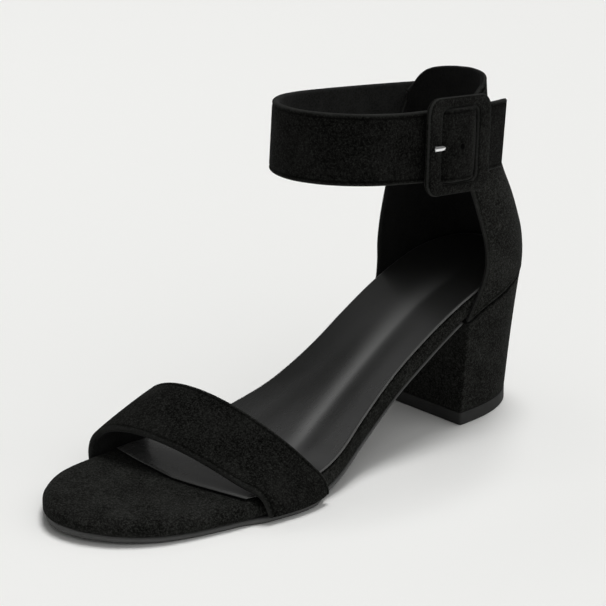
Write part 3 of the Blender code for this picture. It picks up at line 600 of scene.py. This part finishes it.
# %% [markdown]
# ## Footbed
# Insole board and cushion are wrapped in one piece of suede, so the side is a soft band with
# rounded shoulders. The section runs round from the underside, up one side, over the top and
# down the other; each point knows how far it is moved in from the outline and what share of
# the thickness it has.


# %% Footbed
def shoulder(y):
    """How far in and how far down the upper edge is rounded: generous at the toe."""
    return 1.4 + 4.6 * toe_share(y), 1.2 + 2.7 * toe_share(y)


def footbed_surface():
    """Grid of (station along the outline, point round the section)."""
    share = spread(170, 0.6)
    section = []
    for b in np.linspace(0, np.pi / 2, 5):
        section.append((0.6 * (1 - np.sin(b)), lambda y, b=b: footbed_bottom(y) + 0.6 * (1 - np.cos(b))))
    for b in np.linspace(0, np.pi / 2, 11):
        section.append((lambda y, b=b: shoulder(y)[0] * (1 - np.cos(b)),
                        lambda y, b=b: base_top(y) - SOCK - 1.5 * GAP - shoulder(y)[1] * (1 - np.sin(b))))
    sides = [(halves(inset, share), height) for inset, height in section]
    rows = [np.column_stack([lateral, height(lateral[:, 1])]) for (lateral, medial), height in sides]
    other = [np.column_stack([medial, height(medial[:, 1])]) for (lateral, medial), height in sides]
    across = np.linspace(0, 1, 27)[1:-1]
    for start, end, height in ((rows[-1], other[-1], section[-1][1]), (other[0], rows[0], section[0][1])):
        fill = [start[:, :2] + (end - start)[:, :2] * c for c in across]
        fill = [np.column_stack([line, height(line[:, 1])]) for line in fill]
        rows += fill + (other[::-1] if end is other[-1] else [])
    return np.stack(rows, axis=1)


points = footbed_surface()
footbed = into_mesh("footbed_suede", points.reshape(-1, 3), quads(*points.shape[:2], wrap_cols=True),
                    [wrap_suede], edge=np.full(points.shape[0] * points.shape[1], 5.0))
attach(footbed, "root")
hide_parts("footbed")

# %% [markdown]
# ## Outsole and sock
# Both are sheets on the same last: rows run along the foot from side to side. The outsole's
# edge stands a little out of the footbed, most of all under the toe strap. The sock stops at a
# line under the toe strap, where the toes rest on suede. It is dished, with a low ridge; a pale
# band painted along the ridge is a painted highlight, standing in for its satin reflection.


# %% Outsole and sock
DISH = 1.0
LEDGE, STRAP_LEDGE = -0.25, 2.5
SIDE_POINTS, FRONT_POINTS = 400, 280
SOCK_ROWS, SOCK_COLS = 200, 81
SOCK_RIDGE = np.array([
    (-60.0, 24.0), (-12.0, 13.5), (-2.0, 10.9), (10.0, 8.9), (22.0, 7.6), (38.0, 6.5), (60.0, 5.0)])
SOCK_VALLEY = np.array([(-60.0, -14.0), (-8.0, -8.6), (7.0, -6.0), (16.0, -3.0), (60.0, -1.0)])


def foot_rows(inset, rows, cols, front, stop):
    """Plan grid between two front indices and the back, lateral side first."""
    sides = []
    for side in halves(inset, spread(SIDE_POINTS, 0.4)):
        start, end = front(side), stop(side)
        at = start + (end - start) * np.linspace(0, 1, rows)
        sides.append(np.stack([np.interp(at, np.arange(SIDE_POINTS), side[:, k]) for k in (0, 1)], axis=1))
    v = spread(cols, 0.6)[None, :, None]
    return sides[0][:, None] * (1 - v) + sides[1][:, None] * v


def outsole_inset(y):
    """How far the outsole lies inside the footbed's outline; under the toe strap it stands out."""
    under_strap = smooth(y, -62.0, -50.0) * (1 - smooth(y, -30.0, -20.0))
    return LEDGE + (OUTSOLE_INSET - LEDGE) * toe_share(y) - STRAP_LEDGE * under_strap


plan = foot_rows(outsole_inset, 150, 41, lambda side: 1.0,
                 lambda side: np.interp(SEAT_BREAST - 1.2, side[:, 1], np.arange(SIDE_POINTS)))
thick = outsole_thick(plan[..., 1])
middle = np.dstack([plan, base_bottom(plan[..., 1]) + thick / 2])
outsole = shell("outsole_rubber", middle, thick / 2 * 0.99, [sole_rubber], edge_round=0.6)
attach(outsole, "root")
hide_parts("outsole")


def sock_front(side):
    """Index where a side of the outline crosses the sock's front edge."""
    line = np.interp(side[:, 0], SOCK_FRONT[:, 0], SOCK_FRONT[:, 1]) - HALF_LENGTH
    return np.interp(0.0, (side[:, 1] - line)[:FRONT_POINTS], np.arange(FRONT_POINTS))


plan = foot_rows(sock_inset, SOCK_ROWS, SOCK_COLS, sock_front, lambda side: SIDE_POINTS - 3.0)
bend = np.interp(plan[..., 0], SOCK_FRONT[:, 0], SOCK_FRONT[:, 1]) - HALF_LENGTH
v = spread(SOCK_COLS, 0.6)[None, :]
straight = bend[:, :1] * (1 - v) + bend[:, -1:] * v
fade = np.clip(1 - 3 * np.linspace(0, 1, SOCK_ROWS), 0, 1)[:, None]
plan[..., 1] += (bend - straight) * fade
x, y = plan[..., 0], plan[..., 1]
dish = -DISH * (1 - (2 * v - 1) ** 2) * smooth(y, -70.0, -20.0)
ridge_x = np.interp(y, SOCK_RIDGE[:, 0], SOCK_RIDGE[:, 1])
lasting = smooth(y, -60.0, -10.0) * (1 - smooth(y, 40.0, 70.0))
valley_x = np.interp(y, SOCK_VALLEY[:, 0], SOCK_VALLEY[:, 1])
ridges = (0.22 * np.exp(-((x - ridge_x - 3.5) / 4.8) ** 2)
          + 0.08 * np.exp(-((x - valley_x + 4.0) / 5.0) ** 2))
middle = np.dstack([plan, base_top(y) - SOCK / 2 + dish + ridges * lasting])
front_thin = 0.35 + 0.65 * smooth(np.linspace(0, 1, SOCK_ROWS), 0.0, 0.04)[:, None]
sock = shell("sock_sheet", middle, SOCK / 2 * 0.95 * front_thin, [sock_lining], edge_round=0.5,
             plain_ends=True)
cells = np.cross(np.diff(middle, axis=0)[:, :-1], np.diff(middle, axis=1)[:-1])
cut_area = float(np.linalg.norm(cells, axis=-1).sum())
x, y = spots(sock)[:, :2].T
from_ridge = x - np.interp(y, SOCK_RIDGE[:, 0], SOCK_RIDGE[:, 1])
# A painted highlight: the band along the ridge where the sock's colour is lifted, in place of its reflection.
highlight_band = np.exp(-(from_ridge / np.where(from_ridge > 0, 2.0, 4.5 + 3.0 * smooth(y, 20.0, 60.0))) ** 2)
highlight_band *= smooth(y, -38.0, -4.0) * (1 - smooth(y, 44.0, 92.0))
sock.data.attributes.new("highlight_band", "FLOAT", "POINT").data.foreach_set("value", highlight_band.astype(np.float32))
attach(sock, "root")
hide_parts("sock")

# %% [markdown]
# ## Toe strap
# A wide padded band: each line across the foot is a Bezier arch from the outer to the inner
# side of the sole, and it is pushed off the footbed's rounded shoulder so that it drapes
# over it.


# %% Toe strap
DRAPE_ROUNDS = 50


def off_the_edge(middle, lateral, medial):
    """Push points out of a round bead along each upper edge of the footbed, and off its top."""
    moved = middle.copy()
    y = moved[..., 1]
    for side, sign in ((lateral, 1.0), (medial, -1.0)):
        rim = np.interp(y, side[:, 1], side[:, 0]) - sign * EDGE_BEAD
        centre = base_top(y) + 2 * GAP + TOE_STRAP / 2 - EDGE_BEAD
        out, rise = (moved[..., 0] - rim) * sign, moved[..., 2] - centre
        far = np.maximum(np.hypot(out, rise), 1e-6)
        near = (out > 0) & (far < EDGE_BEAD) & (rise > 0)
        moved[..., 0] = np.where(near, rim + sign * out * EDGE_BEAD / far, moved[..., 0])
        moved[..., 2] = np.where(near, centre + rise * EDGE_BEAD / far, moved[..., 2])
        wall = (out > -1.0) & (out < EDGE_BEAD) & (rise <= 0)
        moved[..., 0] = np.where(wall, rim + sign * EDGE_BEAD, moved[..., 0])
    inside = ((moved[..., 0] < np.interp(y, lateral[:, 1], lateral[:, 0]) - EDGE_BEAD)
              & (moved[..., 0] > np.interp(y, medial[:, 1], medial[:, 0]) + EDGE_BEAD))
    roof = base_top(y) + 2 * GAP + TOE_STRAP / 2
    moved[..., 2] = np.where(inside, np.maximum(moved[..., 2], roof), moved[..., 2])
    return moved


def toe_strap_middle(rows, cols):
    """Middle surface: Bezier arches side by side, from the front edge to the rear edge."""
    lateral, medial = halves(-2 * GAP - TOE_STRAP / 2, spread(SIDE_POINTS, 0.4))
    u = spread(rows, 0.7)[:, None]
    lines = []
    for v in spread(cols, 0.7):
        ends = []
        for name, side in (("lateral", lateral), ("medial", medial)):
            front, rear = (np.array(TOE_EDGES[edge][name]) for edge in ("front", "rear"))
            station, height, lean = front + (rear - front) * v
            y = station - HALF_LENGTH
            x = np.interp(y, side[:, 1], side[:, 0])
            z = float(base_bottom(np.array(y))) + OUTSOLE + GAP + 0.4
            ends.append((np.array((x, y, z)), height, lean if name == "lateral" else -lean))
        (a, ha, la), (b, hb, lb) = ends
        c, d = a + (la, 0, ha), b + (lb, -HANDLE_SLIP * v, hb)
        lines.append((1 - u) ** 3 * a + 3 * (1 - u) ** 2 * u * c + 3 * (1 - u) * u * u * d + u ** 3 * b)
    middle = np.stack(lines, axis=1)
    for _ in range(DRAPE_ROUNDS):
        middle = off_the_edge(middle, lateral, medial)
        middle[1:-1] = (middle[:-2] + 2 * middle[1:-1] + middle[2:]) / 4
    return off_the_edge(middle, lateral, medial)


toe_strap = shell("toe_strap_suede", toe_strap_middle(140, 49)[::-1], TOE_STRAP / 2,
                  [upper_suede, strap_lining], edge_round=1.3, round_ends=False, crown=0.12, groove=0.22)
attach(toe_strap, "root")
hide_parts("toe_strap")

# %% [markdown]
# ## Closed back
# The counter is one wall round the heel. Seen from above, each height is a wing, a
# superellipse round the back, and the other wing; the widths and the two front edges change
# with height. The rim rises to a rounded tab above the ankle strap.


# %% Closed back
WING = 0.14


def back_point(theta, z, inset):
    """Point of the back: theta 0 at the lateral front edge, 1 at the medial one."""
    lat, med, rear, front_lat, front_med = (hermite(BACK[:, 0], BACK[:, k], z) for k in range(1, 6))
    turn = np.clip((theta - WING) / (1 - 2 * WING), 0, 1) * np.pi
    width = np.where(turn < np.pi / 2, lat, med) - inset
    power = 2 / BACK_POWER
    x = width * np.sign(np.cos(turn)) * np.abs(np.cos(turn)) ** power
    y = BACK_TURN + (rear - inset - BACK_TURN) * np.sin(turn) ** power
    y = np.where(theta < WING, front_lat + (BACK_TURN - front_lat) * theta / WING, y)
    y = np.where(theta > 1 - WING, front_med + (BACK_TURN - front_med) * (1 - theta) / WING, y)
    return np.stack([x, y, z * np.ones_like(x)], axis=-1)


def counter_middle(rows, cols):
    """Middle surface from the heel's seam up to the rim."""
    theta = spread(cols, 0.35)
    inset = WALL / 2
    low = np.full(cols, 50.0)
    for _ in range(12):
        low = base_bottom(back_point(theta, low, inset)[:, 1])
    low = low + 0.5
    high = hermite(BACK_RIM[:, 0], BACK_RIM[:, 1], theta)
    z = low + (high - low) * spread(rows, 0.6)[:, None]
    return back_point(theta[None, :] * np.ones((rows, 1)), z, inset)


counter = shell("counter_suede", counter_middle(110, 150)[::-1], WALL / 2, [back_suede, back_lining],
                edge_round=1.0, groove=0.15)
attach(counter, "root")
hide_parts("counter")

# %% [markdown]
# ## Ankle strap
# A padded band whose middle line is the table of the strap, lifted over the buckle's centre
# bar and pressed under its front and rear bars by a cosine wave. Between those bars it swells
# outward, most along its middle, and is a little wider. One punched hole shows in the window,
# as a dent in the finish painted dark with the shade inside it, just ahead of the centre bar.


# %% Buckle axes and strap line
BUCKLE_SIDE = 10.0


def buckle_axes():
    """Unit directions of the buckle: along the strap, up, outward."""
    ahead = unit(BUCKLE_ALONG)
    up = unit(BUCKLE_UP - ahead * np.dot(BUCKLE_UP, ahead))
    return ahead, up, np.cross(ahead, up)


def local(point):
    """Buckle coordinates (along the strap, outward, up) to the shoe's."""
    ahead, up, out = buckle_axes()
    point = np.asarray(point, dtype=float)
    return BUCKLE_CENTRE + point[..., :1] * ahead + point[..., 1:2] * out + point[..., 2:3] * up


def weave(place):
    """Outward place of the strap's middle inside the buckle: over the bar, under both side rails."""
    turn = np.cos(np.pi * (np.abs(place) / WEAVE) ** WEAVE_FLAT)
    return (STRAP_HIGH + STRAP_LOW) / 2 + (STRAP_HIGH - STRAP_LOW) / 2 * turn


def swelling(place, v):
    """How far the strap bulges outward in the window: most at its middle line, least at its edges."""
    return BULGE * (0.35 - v ** 2) * np.exp(-((place - 1.0) / 7.0) ** 2)


def strap_line(count):
    """Middle line of the ankle strap with its weave through the buckle."""
    plan = along(ANKLE, np.linspace(0, 1, count))
    ahead, up, out = buckle_axes()
    z = ANKLE_HEIGHT + ANKLE_PITCH * (plan[:, 1] - BUCKLE_CENTRE[1]) + ANKLE_ROLL * (plan[:, 0] - 30.0)
    line = np.column_stack([plan, z])
    place, outward = (line - BUCKLE_CENTRE) @ ahead, (line - BUCKLE_CENTRE) @ out
    near = (line[:, 0] > BUCKLE_SIDE) & (np.abs(place) < WEAVE)
    return line + np.where(near, weave(place) - outward, 0)[:, None] * out


def ankle_middle(rows, cols):
    """Middle surface of the strap, its width square to the line."""
    line = strap_line(rows)
    ahead = unit(np.gradient(line, axis=0))
    along_buckle, out = (line - BUCKLE_CENTRE) @ buckle_axes()[0], buckle_axes()[2]
    here = line[:, 0] > BUCKLE_SIDE
    share = ((1 - smooth(np.abs(along_buckle), 15.0, 27.0)) * here)[:, None]
    lean = np.array((0.0, -ANKLE_PITCH, 1.0)) * (1 - share) + BUCKLE_UP * share
    up = unit(lean - ahead * (ahead * lean).sum(axis=1, keepdims=True))
    v = 2 * spread(cols, 0.7) - 1
    bulge = swelling(along_buckle[:, None], v[None, :]) * here[:, None]
    pressed = here * (1 - smooth(np.abs(along_buckle), 9.0, 14.0))
    reach = v[None, :] * (ANKLE_WIDTH + WINDOW_SPREAD * pressed[:, None]) / 2
    return line[:, None] + up[:, None] * reach[..., None] + bulge[..., None] * out


HOLE = -1.9
hole_at = local(np.array([HOLE, weave(HOLE) + swelling(HOLE, 0.0) + STRAP / 2, 0.0]))
# The ankle strap's copy of the suede keeps the base tone; the copies above are painted lighter to stand in
# for their light.
strap_suede = suede("strap_suede", holes=[(hole_at + SHIFT) * MM])
ankle = shell("ankle_strap_suede", ankle_middle(420, 61), STRAP / 2, [strap_suede, strap_lining],
              edge_round=1.2, groove=0.22)
far = np.linalg.norm(spots(ankle) - hole_at, axis=1)
print("punched hole lies", round(float(far.min()), 2), "mm from the nearest point of the strap")
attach(ankle, "root")
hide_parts("ankle_strap")

# %% [markdown]
# ## Buckle
# The frame is wrapped in suede: a rounded rectangle whose section swells between its inner
# and outer outline. The steel prong starts behind the centre bar, comes up through the strap
# and rests in a shallow bed on the front bar, where it is a little thicker. The thin bar that
# it turns on is steel too.


# %% Buckle
BED_ROOM, BED_FROM, BED_LINE = 0.15, -9.0, 2.3
RING_STEPS, PRONG_STEPS, ROD_SIDES = 40, 70, 20


def rounded_rectangle(size, corner, count):
    """Loop of (along, up) points: four quarter circles and the straight sides between them."""
    centres = np.array([(1, 1), (-1, 1), (-1, -1), (1, -1)]) * (np.array(size) / 2 - corner)
    s = np.linspace(0, 1, 70)[1:-1, None]
    points = []
    for k in range(4):
        turn = np.linspace(0, np.pi / 2, count) + k * np.pi / 2
        points.append(centres[k] + corner * np.column_stack([np.cos(turn), np.sin(turn)]))
        start, turned = points[-1][-1], (k + 1) * np.pi / 2
        end = centres[(k + 1) % 4] + corner * np.array((np.cos(turned), np.sin(turned)))
        points.append(start + (end - start) * s)
    return np.concatenate(points)


outer = rounded_rectangle(FRAME_SIZE, 6.0, 12)
inner = rounded_rectangle(WINDOW_SIZE, 3.0, 12)
turn = np.linspace(0, 2 * np.pi, RING_STEPS, endpoint=False)
swell = np.sign(np.cos(turn)) * np.abs(np.cos(turn)) ** 0.8
rise = np.sign(np.sin(turn)) * np.abs(np.sin(turn)) ** 0.8
narrow = swell * (1 + 0.22 * np.minimum(rise, 0))
across = (outer + inner)[:, None] / 2 + (outer - inner)[:, None] / 2 * narrow[None, :, None]
depth = FRAME_THICK / 2 * rise[None, :] * np.ones((len(outer), 1))
bed = PRONG_RADIUS + BED_ROOM
resting = (np.abs(across[..., 1]) < bed) & (across[..., 0] < BED_FROM) & (depth > 0)
pressed = BED_LINE - np.sqrt(np.clip(bed ** 2 - across[..., 1] ** 2, 0, None))
depth = np.where(resting, np.minimum(depth, pressed), depth)
ring = local(np.dstack([across[..., 0], depth, across[..., 1]]))
# Along the rounded rims of the frame's face the stored distance is small, so the suede paints a highlight
# there.
edge = 11.0 * np.abs(np.abs(swell) - 0.93)[None, :] * np.ones((len(outer), 1))
faces = quads(*ring.shape[:2], wrap_rows=True, wrap_cols=True)
buckle = into_mesh("buckle_cover", ring.reshape(-1, 3), faces, [upper_suede],
                   edge=np.where(depth > 0, edge, 3.0).ravel())
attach(buckle, "root")
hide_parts("buckle_frame")


def rod(name, line, side, radii, material):
    """Round rod with rounded ends: circles across a line that lies in a plane square to side."""
    ahead = unit(np.gradient(line, axis=0))
    other = unit(np.cross(ahead, side))
    turn = np.linspace(0, 2 * np.pi, ROD_SIDES, endpoint=False)[None, :, None]
    rings = line[:, None] + radii[:, None, None] * (np.cos(turn) * other[:, None] + np.sin(turn) * unit(side))
    faces = quads(*rings.shape[:2], wrap_cols=True)
    return into_mesh(name, rings.reshape(-1, 3), faces, [material],
                     edge=np.full(len(line) * ROD_SIDES, 5.0))


steps = along(PRONG, spread(PRONG_STEPS, 0.8))
cap = np.minimum(np.linspace(0, 1, PRONG_STEPS), np.linspace(1, 0, PRONG_STEPS)) * 40
rounding = np.sqrt(np.clip(1 - np.clip(1 - cap, 0, 1) ** 2, 0, 1))
radii = PRONG_RADIUS * (0.85 + 0.42 * smooth(-steps[:, 0], 9.6, 11.4)) * rounding
path = local(np.column_stack([steps, np.zeros(PRONG_STEPS)]))
prong = rod("prong_steel", path, buckle_axes()[1], radii, bright_steel)
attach(prong, "root")
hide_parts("prong")
bar_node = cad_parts["buckle_bar"]
bar_node.data.materials.clear()
bar_node.data.materials.append(bright_steel)

# %% [markdown]
# ## Buckle tab
# A short strip of suede starts on the closed back, runs under the strap's tail and folds
# round the centre bar, in two narrow strips that leave room for the prong.


# %% Buckle tab
TAB_HALF, TAB_ROWS, TAB_COLS = 7.2, 90, 31
SLIT_LOW, SLIT_HIGH = 12, 19


def tab_middle(rows, cols):
    """Middle surface of the tab: a run along the back, then most of a circle round the bar."""
    loop = BAR_RADIUS + GAP + TAB / 2
    bend = np.linspace(-0.5 * np.pi, -1.42 * np.pi, 9)
    fold = np.column_stack([loop * np.cos(bend), BAR_DEPTH + loop * np.sin(bend)])
    wing = np.array([(28.0, -7.2), (24.0, -7.1), (18.0, -6.9), (12.0, -6.3), (6.0, -5.0), (2.5, -3.4)])
    line = along(np.concatenate([wing, fold]), np.linspace(0, 1, rows))
    path = local(np.column_stack([line, np.zeros(rows)]))
    v = 2 * spread(cols, 0.7) - 1
    return path[:, None] + buckle_axes()[1] * (v * TAB_HALF)[None, :, None]


middle = tab_middle(TAB_ROWS, TAB_COLS)
wing = int(0.6 * TAB_ROWS)
parts = {"buckle_tab_wing": middle[:wing], "buckle_tab_low": middle[wing - 1:, :SLIT_LOW],
         "buckle_tab_high": middle[wing - 1:, SLIT_HIGH:]}
for name, part in parts.items():
    strip = shell(name, part, TAB / 2, [upper_suede], edge_round=0.5)
    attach(strip, "root")
    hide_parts("buckle_tab")

# %% [markdown]
# ## Heel
# The block is lofted from a D at the floor to the D of the seat, with a slight waist. Its
# roof follows the sole. Below it the rubber top piece has the same outline.


# %% Heel block and top piece
CAP_SHARES = (0.96, 0.8, 0.55, 0.25, 0.0)
HEEL_CORNER, BLOCK_HALF, PIECE_HALF = 1.1, 28.0, 25.0


def d_outline(lateral, medial, breast, turn_y, back_y):
    """Closed D: flat breast with small round corners, straight flanks, superellipse back."""
    theta = np.linspace(0, np.pi, 90)
    power = 2 / BACK_POWER
    x = np.sign(np.cos(theta)) * np.abs(np.cos(theta)) ** power * np.where(np.cos(theta) > 0, lateral, medial)
    y = turn_y + (back_y - turn_y) * np.sin(theta) ** power
    r = HEEL_CORNER
    quarter = np.linspace(-np.pi / 2, 0, 7)
    flank = np.linspace(0, 1, 6)[1:-1, None]
    near = np.column_stack([lateral - r + r * np.cos(quarter), breast + r + r * np.sin(quarter)])
    far = np.column_stack([-(medial - r) - r * np.cos(quarter[::-1]), breast + r + r * np.sin(quarter[::-1])])
    side_a = near[-1] + (np.array((lateral, turn_y)) - near[-1]) * flank
    side_b = np.array((-medial, turn_y)) + (far[0] - np.array((-medial, turn_y))) * flank
    front = far[-1] + (near[0] - far[-1]) * np.linspace(0, 1, 26)[1:-1, None]
    return np.concatenate([near, side_a, np.column_stack([x, y]), side_b, far, front])


def shrunk(plan, share):
    """Outline drawn in towards its middle."""
    middle = plan.mean(axis=0)
    return middle + (plan - middle) * share


def capped(name, rings, roof, floor, materials):
    """Stack of outlines; each end is closed by rings shrinking to the middle on its own surface."""
    ends = []
    for ring, height in ((rings[0], floor), (rings[-1], roof)):
        plans = [shrunk(ring[:, :2], s) for s in CAP_SHARES]
        ends.append([np.column_stack([plan, height(plan[:, 1])]) for plan in plans])
    grid = np.array(ends[0][::-1] + rings + ends[1])
    edge = np.full(grid.shape[0] * grid.shape[1], 5.0)
    return into_mesh(name, grid.reshape(-1, 3), quads(*grid.shape[:2], wrap_cols=True), materials,
                     edge=edge)


low = d_outline(TIP_HALF, TIP_HALF, HEEL_TIP_BREAST, TIP_TURN, TIP_BACK)
high = d_outline(SEAT_LATERAL, SEAT_MEDIAL, SEAT_BREAST, BACK_TURN, SEAT_BACK)


def seat(y):
    """Roof of the heel block under the sole."""
    return base_bottom(y) - GAP


def block_ring(s, trim=0.0, lift=0.0):
    """Outline at share s of the height, trimmed in and lifted for the rounded rims."""
    plan = shrunk(low + (high - low) * s, 1 - trim / BLOCK_HALF)
    waist = 1.0 - 0.02 * np.sin(np.pi * s)
    floor = TIP_THICK + GAP
    z = floor + (seat(high[:, 1]) - floor) * s + lift
    return np.column_stack([plan[:, 0] * waist, plan[:, 1], z])


rings = [block_ring(0.0, 0.5), block_ring(0.0, 0.15, 0.12), block_ring(0.0, 0.0, 0.5)]
rings += [block_ring(s) for s in np.linspace(0.03, 0.97, 40)]
rings += [block_ring(1.0, 0.0, -0.5), block_ring(1.0, 0.15, -0.12), block_ring(1.0, 0.5)]
heel = capped("heel_cover", rings, seat, lambda y: np.full_like(y, TIP_THICK + GAP), [heel_suede])
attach(heel, "root")
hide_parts("heel_block")


def tip_ring(trim, z):
    """Outline of the top piece, trimmed in by a few tenths at its rims."""
    return np.column_stack([shrunk(low, 1 - trim / PIECE_HALF), np.full(len(low), z)])


rings = [tip_ring(0.5, 0.0), tip_ring(0.15, 0.12), tip_ring(0.0, 0.5)]
rings += [tip_ring(0.0, z) for z in (1.5, 3.0, 4.3)]
rings += [tip_ring(0.0, TIP_THICK - 0.3), tip_ring(0.1, TIP_THICK - 0.08), tip_ring(0.3, TIP_THICK)]
tip = capped("top_piece_rubber", rings, lambda y: np.full_like(y, TIP_THICK), np.zeros_like,
             [tip_rubber])
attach(tip, "root")
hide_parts("heel_tip")

# %% [markdown]
# ## Floor and light
# A plain pale floor, a soft light from almost straight above, a very wide one from the buckle
# side, and a pale surround that fills the shadows as a white studio does. These two lights are
# far away and unseen in reflections. A narrow strip on the inner side gives the sock its long
# highlight.

# %% Stage
floor_white = Finish("studio_floor", Roughness=0.9, Specular_IOR_Level=0.1)
FLOOR_HALF = 30
corners = [(x * FLOOR_HALF, y * FLOOR_HALF, 0) for x, y in ((-1, -1), (1, -1), (1, 1), (-1, 1))]
mesh = bpy.data.meshes.new("floor")
mesh.from_pydata(corners, [], [(0, 1, 2, 3)])
mesh.materials.append(floor_white.wear(Base_Color=(0.9, 0.9, 0.885, 1.0)))
floor = bpy.data.objects.new("floor", mesh)
bpy.context.scene.collection.objects.link(floor)


def light(name, kind, toward, **settings):
    """Light that shines from a direction, with its own settings."""
    lamp = bpy.data.lights.new(name, kind)
    for key, value in settings.items():
        setattr(lamp, key, value)
    item = bpy.data.objects.new(name, lamp)
    bpy.context.scene.collection.objects.link(item)
    item.matrix_world = Vector(toward).to_track_quat("Z", "Y").to_matrix().to_4x4()
    return item


SUNS = {"overhead": ((-0.1, 0.28, 0.95), 2.0, 26.0), "fill": ((0.85, 0.25, 0.45), 0.95, 100.0)}
for name, (toward, strength, wide) in SUNS.items():
    light(name, "SUN", toward, energy=strength, angle=np.radians(wide)).visible_glossy = False
STRIP, STRIP_AIM = Vector((-0.93, 0.13, 0.83)), Vector((0.01, 0.012, 0.03))
strip = light("strip", "AREA", STRIP - STRIP_AIM, energy=0.42, shape="RECTANGLE", size=0.75, size_y=0.06)
strip.matrix_world = Matrix.Translation(STRIP) @ strip.matrix_world
world = bpy.data.worlds.new("studio")
bpy.context.scene.world = world
world.use_nodes = True
world.node_tree.nodes["Background"].inputs["Color"].default_value = (1.0, 1.0, 0.985, 1.0)
world.node_tree.nodes["Background"].inputs["Strength"].default_value = 0.19
bpy.context.scene.view_settings.view_transform = "Standard"
